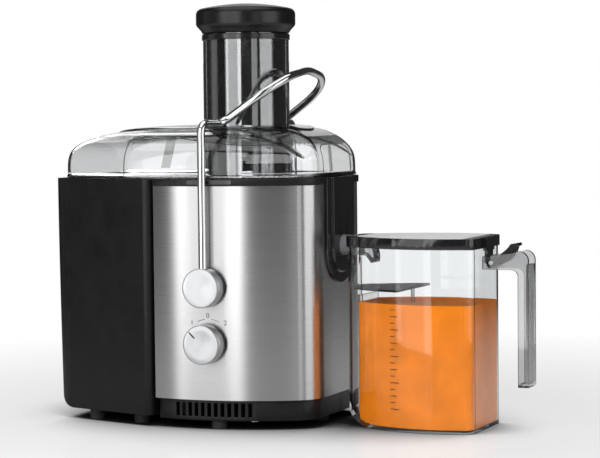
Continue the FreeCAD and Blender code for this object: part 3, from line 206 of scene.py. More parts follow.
FINISHES = {
    "steel_skin": brushed_steel(),
    "black_plastic": moulded("black_plastic", (0.0035, 0.0035, 0.004), 0.4, level=0.35),
    "gloss_black": moulded("gloss_black", (0.006, 0.006, 0.007), 0.2, 0.000004, 300.0, 0.5),
    "gray_plastic": moulded("gray_plastic", (0.16, 0.165, 0.17), 0.4),
    "smoky_clear": clear_plastic("smoky_clear", (0.50, 0.505, 0.51), 0.02, (0.6, 0.6, 0.6), 1.42),
    "clear_plastic": clear_plastic("clear_plastic", (0.92, 0.935, 0.94), 0.01, (0.9, 0.9, 0.9), 1.36),
    "chrome": polished("chrome", (0.78, 0.79, 0.80), 0.05, 0.1),
    "satin_silver": rough_metal("satin_silver", (0.60, 0.61, 0.62), (0.66, 0.67, 0.68), 0.3, 0.38,
                                0.00001, 1500.0, 0.85),
    "rubber": moulded("rubber", (0.02, 0.02, 0.02), 0.7, 0.00005, 900.0),
    "zinc_steel": rough_metal("zinc_steel", (0.50, 0.50, 0.48), (0.62, 0.62, 0.60), 0.3, 0.45),
    "cast_alloy": rough_metal("cast_alloy", (0.42, 0.43, 0.44), (0.52, 0.52, 0.53), 0.5, 0.65,
                              0.00012, 700.0),
    "lamination": rough_metal("lamination", (0.22, 0.22, 0.23), (0.34, 0.33, 0.32), 0.4, 0.55),
    "copper": rough_metal("copper", (0.70, 0.32, 0.17), (0.78, 0.40, 0.22), 0.25, 0.4),
    "brass": rough_metal("brass", (0.70, 0.54, 0.24), (0.78, 0.62, 0.32), 0.25, 0.4),
    "carbon": moulded("carbon", (0.03, 0.03, 0.032), 0.6),
    "sieve_steel": polished("sieve_steel", (0.62, 0.62, 0.63), 0.2, 0.32, 0.00001),
    "circuit_board": moulded("circuit_board", (0.02, 0.13, 0.05), 0.45),
}


def dress_nodes():
    """Gives each CAD node the finish of its own slot."""
    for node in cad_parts.values():
        for holder in node.material_slots:
            holder.material = FINISHES[holder.material.name]


def refinish(node, material):
    """Gives one CAD node a finish of its own."""
    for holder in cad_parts[node].material_slots:
        holder.material = material


def round_edges(thing, width, segments=2):
    """Gives a piece narrow rounded edges, width in millimetres."""
    edge = thing.modifiers.new("Edge", "BEVEL")
    edge.width = width * MM
    edge.segments = segments
    edge.limit_method = "ANGLE"
    return edge


def soften(node, width):
    """Rounds a CAD node's sharp edges a little."""
    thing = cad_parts[node]
    weld = thing.modifiers.new("Weld", "WELD")
    weld.merge_threshold = 0.00001
    edge = round_edges(thing, width)
    edge.angle_limit = math.radians(32.0)
    edge.harden_normals = True


# ---------------------------------------------------------------- mesh helpers


def piece(name, verts, faces, finish, body, smooth_angle=35.0, slot=None):
    """A mesh piece in the row frame, riding on a body. Points are in metres."""
    mesh = bpy.data.meshes.new(name)
    mesh.from_pydata([tuple(v) for v in verts], [], faces)
    mesh.validate()
    tidy = bmesh.new()
    tidy.from_mesh(mesh)
    bmesh.ops.recalc_face_normals(tidy, faces=tidy.faces)
    tidy.to_mesh(mesh)
    tidy.free()
    mesh.materials.append(FINISHES[finish] if isinstance(finish, str) else finish)
    mesh.polygons.foreach_set("use_smooth", [True] * len(mesh.polygons))
    mesh.set_sharp_from_angle(angle=math.radians(smooth_angle))
    thing = bpy.data.objects.new(name, mesh)
    scene.collection.objects.link(thing)
    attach(thing, body)
    return thing


def ring_faces(count, size, closed=True):
    """Quads between count rings of size points each, the last ring joined to the first."""
    faces = []
    for step in range(count):
        here, following = step * size, (step + 1) % count * size
        for k in range(size if closed else size - 1):
            after = (k + 1) % size
            faces.append((here + k, following + k, following + after, here + after))
    return faces


def lathe(name, profile, finish, body, centre=(0.0, 0.0), axis="z", count=96, closed=True, **more):
    """Turns (radius, height) points in millimetres round an axis through centre.
    axis z takes centre as (x, y) and axis y as (x, z), with height along -Y."""
    verts = []
    for step in range(count):
        turn = 2 * math.pi * step / count
        for radius, height in profile:
            across, up = radius * math.cos(turn), radius * math.sin(turn)
            if axis == "z":
                verts.append(at(centre[0] + across, centre[1] + up, height))
            else:
                verts.append(at(centre[0] + across, -height, centre[1] + up))
    thing = piece(name, verts, ring_faces(count, len(profile), closed), finish, body, **more)
    merge_points(thing)
    return thing


def merge_points(thing):
    """Joins points that fall together, such as those on a turned piece's axis."""
    tidy = bmesh.new()
    tidy.from_mesh(thing.data)
    bmesh.ops.remove_doubles(tidy, verts=tidy.verts, dist=1e-6)
    bmesh.ops.recalc_face_normals(tidy, faces=tidy.faces)
    tidy.to_mesh(thing.data)
    tidy.free()


def arc(centre, radius, start, end, count):
    """Points on an arc, angles in degrees."""
    points = []
    for k in range(count + 1):
        angle = math.radians(start + (end - start) * k / count)
        points.append((centre[0] + radius * math.cos(angle), centre[1] + radius * math.sin(angle)))
    return points


def line(start, end, count):
    """Points from start up to but without end."""
    return [(start[0] + (end[0] - start[0]) * k / count, start[1] + (end[1] - start[1]) * k / count)
            for k in range(count)]


def wall_strip(name, outline, low, high, thickness, finish, body, **more):
    """An upright strip round a closed anticlockwise outline, thickened outward."""
    verts = []
    count = len(outline)
    for k, (x, y) in enumerate(outline):
        before, after = outline[k - 1], outline[(k + 1) % count]
        along = Vector((after[0] - before[0], after[1] - before[1])).normalized()
        out = Vector((along.y, -along.x)) * thickness
        for far, z in ((0, low), (1, low), (1, high), (0, high)):
            verts.append(at(x + out.x * far, y + out.y * far, z))
    return piece(name, verts, ring_faces(count, 4), finish, body, **more)


# ---------------------------------------------------------------- the machine's plan

STEEL_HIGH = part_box("steel_wrap")[1] / MM
SKIN_RIGHT = STEEL_HIGH.x - AXIS_X / MM
SKIN_HALF = STEEL_HIGH.y
BOW_X, CORNER, CORNER_Y = -20.0, 30.0, 40.0
BOW = ((SKIN_RIGHT - CORNER - BOW_X) ** 2 + (SKIN_HALF - CORNER_Y) ** 2 - CORNER ** 2) / (
    2 * (SKIN_HALF - CORNER_Y - CORNER))


def skin_front(inset, left, steps=24):
    """The bowed front and the rounded right corner, from left round to the flat side."""
    bow, centre = BOW - inset, BOW - SKIN_HALF
    across = SKIN_RIGHT - CORNER - BOW_X
    join = math.degrees(math.atan2(-(CORNER_Y + centre), across))
    start = -90.0 - math.degrees(math.asin((BOW_X - left) / bow))
    front = arc((BOW_X, centre), bow, start, join, steps)
    return front + arc((SKIN_RIGHT - CORNER, -CORNER_Y), CORNER - inset, join, 0.0, steps)[1:]


def front_y(x):
    """Where the steel's bowed front is at x, in millimetres."""
    return (BOW - SKIN_HALF) - math.sqrt(BOW ** 2 - (x - BOW_X) ** 2)


# ---------------------------------------------------------------- lid and chute

LID_LOW, LID_HIGH = (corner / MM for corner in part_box("feed_lid"))
LID_LEFT = LID_LOW.x - AXIS_X / MM
SKIRT_LOW = 230.2
RIM_PROUD, LATCH_LOW, LATCH_HIGH, LATCH_LEFT, LATCH_LENGTH = 1.5, 224.4, 228.6, -17.0, 43.0
LID_WALL, LID_INSET = 2.4, 1.5
KNEE_X, KNEE_Y = -84.0, 91.0
LEFT_HALF, LEFT_CORNER = 69.0, 16.0
CHUTE_OUT, CHUTE_IN = 40.8, 38.2
CHUTE_LOW, CHUTE_TOP, LIP_LOW = 206.0, LID_HIGH.z, 358.5
DOME_LOW, DOME_RISE, DOME_REACH = 235.0, 43.5, 92.0
KNOB_X, BAIL_Z, DIAL_Z = 2.0, 131.0, 79.5
BAIL_REACH, BAIL_INNER, BAIL_SLOPE = 143.4, 58.0, 0.9
CREASE_TOP, CREASE_FALL, CREASE_START, CREASE_RUN = 267.5, 7.5, -41.0, 70.0


def lid_outline():
    """The skirt's outline, anticlockwise from the left end's front corner."""
    front = arc((LID_LEFT + LEFT_CORNER, -(LEFT_HALF - LEFT_CORNER)), LEFT_CORNER, 180.0, 255.0, 8)
    front += line(front[-1], (KNEE_X, -KNEE_Y), 14)[1:]
    front += line((KNEE_X, -KNEE_Y), (BOW_X, -(SKIN_HALF - LID_INSET)), 14)
    front += skin_front(LID_INSET, BOW_X, 22)
    front += [(front[-1][0], -CORNER_Y * k / 6) for k in range(5, 0, -1)]
    back = [(x, -y) for x, y in reversed(front)]
    left = [(LID_LEFT, (LEFT_HALF - LEFT_CORNER) * k / 6) for k in range(5, -6, -1)]
    return front + [(front[-1][0], 0.0)] + back + left


def edge_distance(point, outline):
    """How far a point lies inside a closed outline."""
    nearest = 1e9
    for k, end in enumerate(outline):
        start = outline[k - 1]
        run = Vector((end[0] - start[0], end[1] - start[1]))
        if run.length < 1e-6:
            continue
        across, up = point[0] - start[0], point[1] - start[1]
        share = max(0.0, min(1.0, (across * run.x + up * run.y) / run.length ** 2))
        nearest = min(nearest, math.hypot(across - run.x * share, up - run.y * share))
    return nearest


def round_rise(share):
    """A rounded rise from 0 to 1 that starts upright."""
    share = max(0.0, min(1.0, share))
    return (1 - (1 - share) ** 3) ** (1 / 3)


def smooth_lower(first, second, soft=5.0):
    """The lower of two heights, rounded where they cross."""
    mix = max(soft - abs(first - second), 0.0) / soft
    return min(first, second) - mix * mix * soft / 4


def dome_height(x, y, inside):
    """The lid's height at a place that lies that far inside its outline. It stays under
    the path of the bail's legs over its right shoulders."""
    by_edge = DOME_LOW + DOME_RISE * round_rise(inside / DOME_REACH)
    by_end = DOME_LOW + DOME_RISE * round_rise(1 - abs(min(x, 0.0)) / -LID_LEFT)
    height = smooth_lower(by_edge, by_end)
    past = max(0.0, x - KNOB_X)
    between = max(0.0, BAIL_INNER - abs(y))
    under_bail = BAIL_Z + math.sqrt(BAIL_REACH ** 2 - past ** 2) + BAIL_SLOPE * between
    return smooth_lower(height, under_bail)


def lid_surface(outline, x, y, lift=0.0):
    """A point on the lid over a place in plan."""
    return at(x, y, dome_height(x, y, edge_distance((x, y), outline)) + lift)


def chute_ring(radius, direction):
    """The place on a circle round the chute in that direction."""
    return (radius * math.cos(direction), radius * math.sin(direction))


def make_lid():
    """The clear lid: light panels, a slightly darker left end and a smoky vault."""
    outline = lid_outline()
    rows, gathering = 34, 2.4
    verts = []
    for x, y in outline:
        verts.append(at(x, y, SKIRT_LOW))
        ring = chute_ring(CHUTE_OUT + 0.2, math.atan2(y, x))
        for k in range(rows + 1):
            share = (k / rows) ** gathering
            verts.append(lid_surface(outline, x + (ring[0] - x) * share, y + (ring[1] - y) * share))
    faces = ring_faces(len(outline), rows + 2, closed=False)
    lid = piece("clear_lid", verts, faces, PANEL_CLEAR, "machine", 28.0, slot="smoky_clear")
    lid.data.materials.append(FINISHES["smoky_clear"])
    lid.data.materials.append(END_CLEAR)
    for face in lid.data.polygons:
        x, _, z = (face.center - at(0, 0, 0)) / MM
        if z > crease_height(x) + 0.5:
            face.material_index = 1
        elif x < KNEE_X:
            face.material_index = 2
    wall = lid.modifiers.new("Wall", "SOLIDIFY")
    wall.thickness = LID_WALL * MM
    wall.offset = -1.0
    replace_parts(lid, "feed_lid")
    return outline


def crease_height(x):
    """How high the panels' top edge runs, falling from the knee to the right."""
    return CREASE_TOP - CREASE_FALL * max(0.0, min(1.0, (x - CREASE_START) / CREASE_RUN))


def wall_inset(z):
    """How far inside its outline the lid's wall stands at that height."""
    share = max(0.0, (z - DOME_LOW) / DOME_RISE)
    return DOME_REACH * (1 - (1 - share ** 3) ** (1 / 3))


def outline_walk(outline, start, end):
    """Places along the outline from the point nearest start to the one nearest end,
    each with the direction that points out of the lid."""
    count = len(outline)
    near = [min(range(count), key=lambda k: math.dist(outline[k], place)) for place in (start, end)]
    if near[1] < near[0]:
        near[1] += count
    walk = []
    for k in range(near[0], near[1] + 1):
        before, here, after = (outline[(k + step) % count] for step in (-1, 0, 1))
        along = Vector((after[0] - before[0], after[1] - before[1])).normalized()
        walk.append((here, Vector((along.y, -along.x))))
    return walk


def make_crease(name, outline, start, end, radius=0.55):
    """A thin moulded line that frames a panel: up at its start, along its top and down at
    its end, with its two upper corners rounded."""
    walk = outline_walk(outline, start, end)
    last_step = len(walk) - 1
    foot, corner_drop = SKIRT_LOW + 2.4, 4.5

    def on_wall(place, out, z):
        inset = wall_inset(z) - 0.15
        x, y = place[0] - out.x * inset, place[1] - out.y * inset
        return at(x, y, min(z, dome_height(x, y, edge_distance((x, y), outline)) + 0.2))

    def top(place):
        return crease_height(place[0])

    def upright(place, out):
        return [on_wall(place, out, foot + (top(place) - 8 - SKIRT_LOW) * k / 6) for k in range(6)]

    points = upright(*walk[0])
    for k, (place, out) in enumerate(walk):
        near_end = max(0.0, 1 - k / 2, 1 - (last_step - k) / 2)
        points.append(on_wall(place, out, top(place) - corner_drop * near_end ** 2))
    points += reversed(upright(*walk[-1]))
    tube(name, points, radius, CREASE, "machine")


def tube(name, points, radius, finish, body):
    """A thin round line along a smooth path of points in metres."""
    curve = bpy.data.curves.new(name, "CURVE")
    curve.dimensions = "3D"
    spline = curve.splines.new("NURBS")
    spline.points.add(len(points) - 1)
    for target, point in zip(spline.points, points):
        target.co = (*point, 1.0)
    spline.order_u = 3
    spline.use_endpoint_u = True
    curve.bevel_depth = radius * MM
    curve.bevel_resolution = 2
    curve.use_fill_caps = True
    path = bpy.data.objects.new(name + "_path", curve)
    scene.collection.objects.link(path)
    mesh = bpy.data.meshes.new_from_object(path)
    bpy.data.objects.remove(path)
    mesh.name = name
    mesh.materials.clear()
    mesh.materials.append(finish)
    thing = bpy.data.objects.new(name, mesh)
    scene.collection.objects.link(thing)
    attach(thing, body)


def make_plateau(outline):
    """The raised oval round the chute, a thin plate that follows the vault."""
    middle, long_half, short_half, rise = -33.0, 98.0, 56.0, 1.5
    count, rows, squareness = 120, 9, 0.85
    verts = []
    for step in range(count):
        turn = 2 * math.pi * step / count
        cosine, sine = math.cos(turn), math.sin(turn)
        edge = (middle + long_half * math.copysign(abs(cosine) ** squareness, cosine),
                short_half * math.copysign(abs(sine) ** squareness, sine))
        ring = chute_ring(CHUTE_OUT + 0.4, math.atan2(edge[1], edge[0]))
        places = [(edge[0] + (ring[0] - edge[0]) * k / rows, edge[1] + (ring[1] - edge[1]) * k / rows)
                  for k in range(rows + 1)]
        verts += [lid_surface(outline, x, y, rise) for x, y in places]
        verts += [lid_surface(outline, x, y, 0.3) for x, y in reversed(places)]
    plate = piece("lid_plateau", verts, ring_faces(count, 2 * (rows + 1)), "smoky_clear", "machine", 30.0)
    round_edges(plate, 0.5)


def make_rib(name, outline, x, half, low, high, depth, sign):
    """A flat moulded rib on the inside of the lid's wall, front (-1) or rear (1)."""
    verts = []
    for z in (low, high):
        for px in (x - half, x + half):
            y = sign * (outline_half(outline, px) - wall_inset(z) - LID_WALL)
            verts += [at(px, y, z), at(px, y - sign * depth, z)]
    faces = [(0, 1, 3, 2), (4, 6, 7, 5), (0, 2, 6, 4), (1, 5, 7, 3), (0, 4, 5, 1), (2, 3, 7, 6)]
    round_edges(piece(name, verts, faces, "smoky_clear", "machine"), 0.4)


def make_lid_details(outline):
    """Panel creases, the bright hem along the skirt and two moulded ribs a side."""
    front = ((KNEE_X, -KNEE_Y), (79.0, -65.0))
    rear = ((79.0, 65.0), (KNEE_X, KNEE_Y))
    right = ((SKIN_RIGHT - LID_INSET, -33.0), (SKIN_RIGHT - LID_INSET, 33.0))
    make_crease("panel_crease_front", outline, *front)
    make_crease("panel_crease_rear", outline, *rear)
    make_crease("panel_crease_right", outline, *right, 0.45)
    wall_strip("lid_hem", outline, SKIRT_LOW + 0.15, SKIRT_LOW + 1.9, 0.7, PANEL_CLEAR, "machine",
               slot="smoky_clear")
    for side, sign in (("front", -1), ("rear", 1)):
        make_rib("lid_rib_hanging_" + side, outline, -41.0, 4.6, 240.0, 266.0, 1.2, sign)
    for side, sign in (("front", -1), ("rear", 1)):
        make_rib("lid_rib_standing_" + side, outline, 54.0, 1.6, SKIRT_LOW + 2.2, 258.0, 1.6, sign)


def outline_half(outline, x):
    """Half the lid's width at x."""
    front = sorted(point for point in outline if point[1] < -30)
    for (x0, y0), (x1, y1) in zip(front, front[1:]):
        if x0 <= x <= x1:
            return -(y0 + (y1 - y0) * (x - x0) / (x1 - x0))
    return -front[-1][1]


def make_chute():
    """The feed chute's clear wall and its black lip."""
    wall_top = LIP_LOW - 0.3
    lathe("feed_chute", [(CHUTE_IN, CHUTE_LOW), (CHUTE_OUT, CHUTE_LOW), (CHUTE_OUT, wall_top),
                         (CHUTE_IN, wall_top)], CHUTE_CLEAR, "machine", count=128, slot="smoky_clear")
    lip, top = CHUTE_OUT + 1.0, CHUTE_TOP - 0.2
    lathe("chute_lip", [(CHUTE_IN, LIP_LOW), (lip - 0.4, LIP_LOW), (lip, LIP_LOW + 0.5),
                        (lip, top - 0.6), (lip - 0.5, top), (CHUTE_IN, top)],
          "gloss_black", "machine", count=128)


def make_cap():
    """The pusher's black cap: a tapered neck, a soft shoulder and a low dome."""
    low, high = (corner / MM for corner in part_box("pusher_cap"))
    radius = (high.x - low.x) / 2
    bend = 6.0
    shoulder = arc((radius - bend, high.z - 10.5), bend, 0.0, 72.0, 10)
    rim, rim_z = shoulder[-1]
    dome = [(rim * (1 - k / 10), high.z - (high.z - rim_z) * (1 - k / 10) ** 2) for k in range(1, 11)]
    neck = [(0.0, low.z + 0.1), (40.6, low.z + 0.1), (41.4, low.z + 0.9), (42.4, low.z + 2.8),
            (44.8, low.z + 5.4), (radius - 0.5, low.z + 7.6), (radius, low.z + 9.0)]
    cap = lathe("soft_cap", neck + shoulder + dome, CAP_BLACK, "pusher", count=128, closed=False,
                smooth_angle=50.0, slot="black_plastic")
    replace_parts(cap, "pusher_cap")


# ---------------------------------------------------------------- knobs and dial

KNOB_RADIUS = 18.0


def spun_metal(name, height):
    """Turned metal with fine round tool marks about a knob's own middle."""
    shader = Shader(name, (0.60, 0.61, 0.62), 0.3, 0.95, Anisotropic=0.75)
    away = shader.new("ShaderNodeVectorMath", operation="SUBTRACT")
    away.inputs[1].default_value = at(KNOB_X, 0, height)
    shader.link(shader.object_place(), 0, away, 0)
    around = shader.new("ShaderNodeVectorMath", operation="CROSS_PRODUCT")
    around.inputs[1].default_value = (0.0, 1.0, 0.0)
    shader.link(away, 0, around, 0)
    shader.link(around, 0, shader.surface, "Tangent")
    rings = shader.new("ShaderNodeTexWave", wave_type="RINGS", rings_direction="Y")
    rings.inputs["Scale"].default_value = 700.0
    rings.inputs["Distortion"].default_value = 2.0
    shader.link(away, 0, rings, "Vector")
    shader.link(shader.spread(rings, "Fac", 0.28, 0.34), 0, shader.surface, "Roughness")
    shader.bump(rings, "Fac", 0.000002, 0.5)
    return shader.material


def make_knob(name, height, body, far, near, mirrored=False):
    """A turned knob: a faintly dished face with a crisp edge, and a black ring behind it."""
    radius, wide = KNOB_RADIUS, KNOB_RADIUS + 0.2
    face = [(0.0, far - 0.5), (6.0, far - 0.45), (12.0, far - 0.2), (radius - 1.5, far)]
    profile = face + [(radius - 0.9, far - 0.1), (radius - 0.25, far - 0.6), (radius, far - 1.3),
                      (radius, near + 2.6), (radius - 0.4, near + 2.2), (0.0, near + 2.2)]
    ring = [(0.0, near), (wide - 0.5, near), (wide, near + 0.5), (wide, near + 1.6),
            (wide - 0.5, near + 2.1), (0.0, near + 2.1)]
    if mirrored:
        profile, ring = ([(r, -h) for r, h in points] for points in (profile, ring))
    centre = (KNOB_X, height)
    lathe(name + "_ring", ring, "gloss_black", body, centre, "y", closed=False, smooth_angle=25.0)
    return lathe(name, profile, spun_metal(name + "_metal", height), body, centre, "y",
                 closed=False, smooth_angle=22.0, slot="satin_silver")


def make_knobs():
    """The two bail knobs and the speed knob with its pointer line."""
    low, high = (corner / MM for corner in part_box("front_bail_knob"))
    far, near = -low.y, -high.y
    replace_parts(make_knob("front_knob", BAIL_Z, "bail", far, near), "front_bail_knob")
    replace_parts(make_knob("rear_knob", BAIL_Z, "bail", far, near, True), "rear_bail_knob")
    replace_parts(make_knob("speed_knob_face", DIAL_Z, "speed_control", far, near), "speed_knob")
    pointer = piece("pointer_line", [at(KNOB_X + x, -far + 0.1, DIAL_Z + z) for x, z in
                                     ((-11.9, 11.0), (-11.0, 11.9), (-5.6, 6.5), (-6.5, 5.6))],
                    [(0, 1, 2, 3)], "gloss_black", "speed_control")
    depth = pointer.modifiers.new("Depth", "SOLIDIFY")
    depth.thickness = 0.3 * MM
    depth.offset = 0.0


def on_skin(x, z, lift=0.06):
    """A point on the bowed front of the steel, lifted off it a hair."""
    return at(x, front_y(x) - lift, z)


def make_dial_marks():
    """The printed numbers 1, 0 and 2 and the two thin arcs between them, laid on the steel."""
    for word, x, z in (("1", -14.0, 96.2), ("0", 1.6, 102.8), ("2", 18.0, 96.2)):
        curve = bpy.data.curves.new("mark_" + word, "FONT")
        curve.body = word
        curve.size = 6.4 * MM
        curve.align_x = "CENTER"
        text = bpy.data.objects.new("mark_" + word, curve)
        scene.collection.objects.link(text)
        mesh = bpy.data.meshes.new_from_object(text)
        verts = [on_skin(x + v.co.x / MM, z + v.co.y / MM) for v in mesh.vertices]
        faces = [tuple(p.vertices) for p in mesh.polygons]
        bpy.data.objects.remove(text)
        bpy.data.meshes.remove(mesh)
        piece("dial_" + word, verts, faces, INK, "machine", slot="gloss_black")
    verts, faces = [], []
    steps, inner, outer = 14, 21.9, 22.4
    for start, end in ((118.0, 98.0), (82.0, 62.0)):
        first = len(verts)
        for angle in (math.radians(start + (end - start) * k / steps) for k in range(steps + 1)):
            for radius in (inner, outer):
                verts.append(on_skin(KNOB_X + radius * math.cos(angle), DIAL_Z + radius * math.sin(angle)))
        for k in range(first, first + 2 * steps, 2):
            faces.append((k, k + 1, k + 3, k + 2))
    piece("dial_arc", verts, faces, INK, "machine", slot="gloss_black")


# ---------------------------------------------------------------- jug, juice and lid panel

JUG_LOW, JUG_HIGH = (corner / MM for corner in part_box("jug_shell"))
JUG_LEFT, JUG_RIGHT = JUG_LOW.x - AXIS_X / MM, JUG_HIGH.x - AXIS_X / MM
JUG_HALF_LEFT, JUG_HALF_RIGHT, JUG_BOW = 27.0, 43.0, 117.0
JUG_CORNER_LEFT, JUG_CORNER_RIGHT, JUG_FLOOR = 14.0, 10.0, 3.3
JUICE_TOP, PARTITION = 115.0, 15.0


def jug_outline(inset, steps=8):
    """The jug's plan, set in by inset: rounded corners, and long sides bowed outward."""
    left, right = JUG_LEFT + inset, JUG_RIGHT - inset
    half_left, half_right = JUG_HALF_LEFT - inset, JUG_HALF_RIGHT - inset
    corner_left, corner_right = JUG_CORNER_LEFT - inset / 2, JUG_CORNER_RIGHT - inset / 2
    bow = JUG_BOW - inset
    start, end = (left + corner_left, -half_left), (right - corner_right, -half_right)
    run = Vector((end[0] - start[0], end[1] - start[1]))
    middle = Vector(((start[0] + end[0]) / 2, (start[1] + end[1]) / 2))
    inward = Vector((-run.y, run.x)).normalized()
    centre = middle + inward * math.sqrt(bow ** 2 - (run.length / 2) ** 2)
    first = math.degrees(math.atan2(start[1] - centre.y, start[0] - centre.x))
    last = math.degrees(math.atan2(end[1] - centre.y, end[0] - centre.x))
    front = arc((left + corner_left, -(half_left - corner_left)), corner_left, 180.0, 270.0, steps)[:-1]
    front += arc((centre.x, centre.y), bow, first, last, 3 * steps)[:-1]
    front += arc((right - corner_right, -(half_right - corner_right)), corner_right, 270.0, 360.0, steps)
    back = [(x, -y) for x, y in reversed(front)]
    return front + back


def make_juice():
    """Juice in the jug up to its level, with a small rise where it wets the wall."""
    inset = 2.75
    left, bend = JUG_LEFT + inset, JUG_HALF_LEFT - inset
    outline = [(max(x, JUG_LEFT + PARTITION), y) for x, y in jug_outline(inset)]
    levels = [JUG_FLOOR + (JUICE_TOP - JUG_FLOOR) * (k / 24) ** 1.5 for k in range(25)]
    verts, faces = [], []

    def cut_left(x, z):
        """Moves a point in from the big rounding under the jug's left end."""
        if z >= JUG_FLOOR + bend:
            return x
        reach = bend - math.sqrt(max(0.0, bend ** 2 - (JUG_FLOOR + bend - z) ** 2))
        return max(x, left + reach)

    for z in levels:
        verts += [at(cut_left(x, z), y, z) for x, y in outline]
    middle = (JUG_LEFT + JUG_RIGHT) / 2
    for share, drop in ((0.985, 1.1), (0.95, 1.5), (0.5, 1.6)):
        verts += [at(middle + (x - middle) * share, y * share, JUICE_TOP - drop) for x, y in outline]
    count = len(outline)
    rings = len(levels) + 3
    for here in range(0, (rings - 1) * count, count):
        above = here + count
        for k in range(count):
            after = (k + 1) % count
            faces.append((here + k, here + after, above + after, above + k))
    faces.append(tuple(range(count))[::-1])
    faces.append(tuple(range((rings - 1) * count, rings * count)))
    piece("juice", verts, faces, JUICE, "jug", 40.0, slot="clear_plastic")


def make_partition():
    """The clear upright wall that keeps the juice off the jug's rounded end."""
    inset, thickness = 2.7, 1.6
    bend = JUG_HALF_LEFT - inset
    half = max(-y for x, y in jug_outline(inset) if x < JUG_LEFT + PARTITION)
    low = JUG_FLOOR + bend - math.sqrt(bend ** 2 - (bend + inset - PARTITION) ** 2)
    right = JUG_LEFT + PARTITION - 0.1
    left = right - thickness
    verts = [at(x, y, z) for z in (low + 1.0, JUICE_TOP + 6.0)
             for x, y in ((right, -half), (left, -half), (left, half), (right, half))]
    faces = [(0, 1, 2, 3), (7, 6, 5, 4)] + [(k, (k + 1) % 4, 4 + (k + 1) % 4, 4 + k) for k in range(4)]
    round_edges(piece("jug_partition", verts, faces, "clear_plastic", "jug"), 0.3, 1)


def make_jug_marks():
    """Short level marks on the jug's front wall."""
    verts, faces = [], []
    front = sorted(p for p in jug_outline(-0.08) if p[1] < -28.0 and JUG_LEFT + 16 < p[0] < JUG_RIGHT - 8)

    def wall_y(x):
        for (x0, y0), (x1, y1) in zip(front, front[1:]):
            if x0 <= x <= x1:
                return y0 + (y1 - y0) * (x - x0) / (x1 - x0)
        return front[0][1]

    x, line_height = JUG_LEFT + 52.0, 0.7
    for level in (20.0, 44.0, 68.0, 92.0):
        for offset, width in ((0.0, 9.0), (6.0, 5.0), (12.0, 7.0), (18.0, 5.0)):
            first = len(verts)
            for px, pz in ((x, 0.0), (x + width, 0.0), (x + width, line_height), (x, line_height)):
                verts.append(at(px, wall_y(px), level + offset + pz))
            faces.append((first, first + 1, first + 2, first + 3))
    piece("level_marks", verts, faces, INK, "jug", slot="gloss_black")


def make_lid_panel():
    """The satin grey panel let into the top of the jug's black lid, kept off the spout."""
    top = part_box("jug_lid")[1].z / MM
    spout_end = (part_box("filter_bowl")[1] / MM).x - AXIS_X / MM
    outline = [(max(x, spout_end + 2.0), y) for x, y in jug_outline(4.6) if x < JUG_RIGHT - 9]
    verts = [at(x, y, top + lift) for lift in (-0.4, 0.35) for x, y in outline]
    count = len(outline)
    faces = [(k, (k + 1) % count, count + (k + 1) % count, count + k) for k in range(count)]
    faces += [tuple(range(count))[::-1], tuple(range(count, 2 * count))]
    round_edges(piece("lid_panel", verts, faces, PANEL, "jug_cover", slot="gray_plastic"), 0.25, 1)


# ---------------------------------------------------------------- rim latch


def make_latch():
    """The narrow black latch under the lid's hem, where the bail's leg passes the rim."""
    for side, sign in (("front", -1), ("rear", 1)):
        verts = []
        steps = 12
        for x in (LATCH_LEFT + LATCH_LENGTH * k / steps for k in range(steps + 1)):
            y = sign * (-front_y(x) + RIM_PROUD)
            verts += [at(x, y - sign * 0.5, LATCH_LOW), at(x, y + sign * 0.9, LATCH_LOW),
                      at(x, y + sign * 0.9, LATCH_HIGH), at(x, y - sign * 0.5, LATCH_HIGH)]
        faces = ring_faces(steps + 1, 4)[:4 * steps]
        faces += [(0, 1, 2, 3), tuple(len(verts) - 1 - m for m in range(4))]
        round_edges(piece("rim_latch_" + side, verts, faces, "gloss_black", "machine"), 0.4)


# ---------------------------------------------------------------- finishes of single pieces

INK = moulded("printed_ink", (0.02, 0.02, 0.02), 0.5)
PANEL = rough_metal("lid_panel", (0.66, 0.66, 0.67), (0.72, 0.72, 0.73), 0.42, 0.5, 0.00001, 1200.0, 0.0)
CAP_BLACK = moulded("cap_black", (0.003, 0.003, 0.0033), 0.3, level=0.5)
HANDLE_CLEAR = clear_plastic("handle_clear", (0.50, 0.505, 0.51), 0.02, (0.6, 0.6, 0.6))
JUICE = moulded("juice", (0.72, 0.19, 0.004), 0.45, 0.000004, 90.0, level=0.15)
PUSHER = polished_black()
PANEL_CLEAR = clear_plastic("lid_panel_clear", (0.94, 0.945, 0.95), 0.015, (0.92, 0.92, 0.92))
END_CLEAR = clear_plastic("lid_end_clear", (0.84, 0.845, 0.85), 0.015, (0.85, 0.85, 0.85))
CREASE = clear_plastic("lid_crease", (0.30, 0.31, 0.32), 0.05, (0.5, 0.5, 0.5))
CHUTE_CLEAR = clear_plastic("chute_clear", (0.86, 0.87, 0.875), 0.01, (0.85, 0.85, 0.85))
SEPARATOR = clear_plastic("separator", (0.45, 0.46, 0.47), 0.03, (0.6, 0.6, 0.6))
SOFT_EDGES = {"base_pan": 0.8, "pulp_container": 0.9, "spout_panel": 0.7, "top_rim": 0.5,
              "jug_lid": 0.8, "jug_handle": 0.8, "thumb_lever": 0.5, "spout_nozzle": 0.4}

dress_nodes()
refinish("pusher_tube", PUSHER)
refinish("foam_separator", SEPARATOR)
refinish("jug_handle", HANDLE_CLEAR)
refinish("thumb_lever", FINISHES["black_plastic"])
for node, width in SOFT_EDGES.items():
    soften(node, width)
LID_OUTLINE = make_lid()
make_plateau(LID_OUTLINE)
make_lid_details(LID_OUTLINE)
make_latch()
make_chute()
make_cap()
make_knobs()
make_dial_marks()
make_juice()
make_partition()
make_jug_marks()
make_lid_panel()


# ---------------------------------------------------------------- camera and light

ROOM_LIGHT, FLOOR_LIGHT = 0.035, 0.6


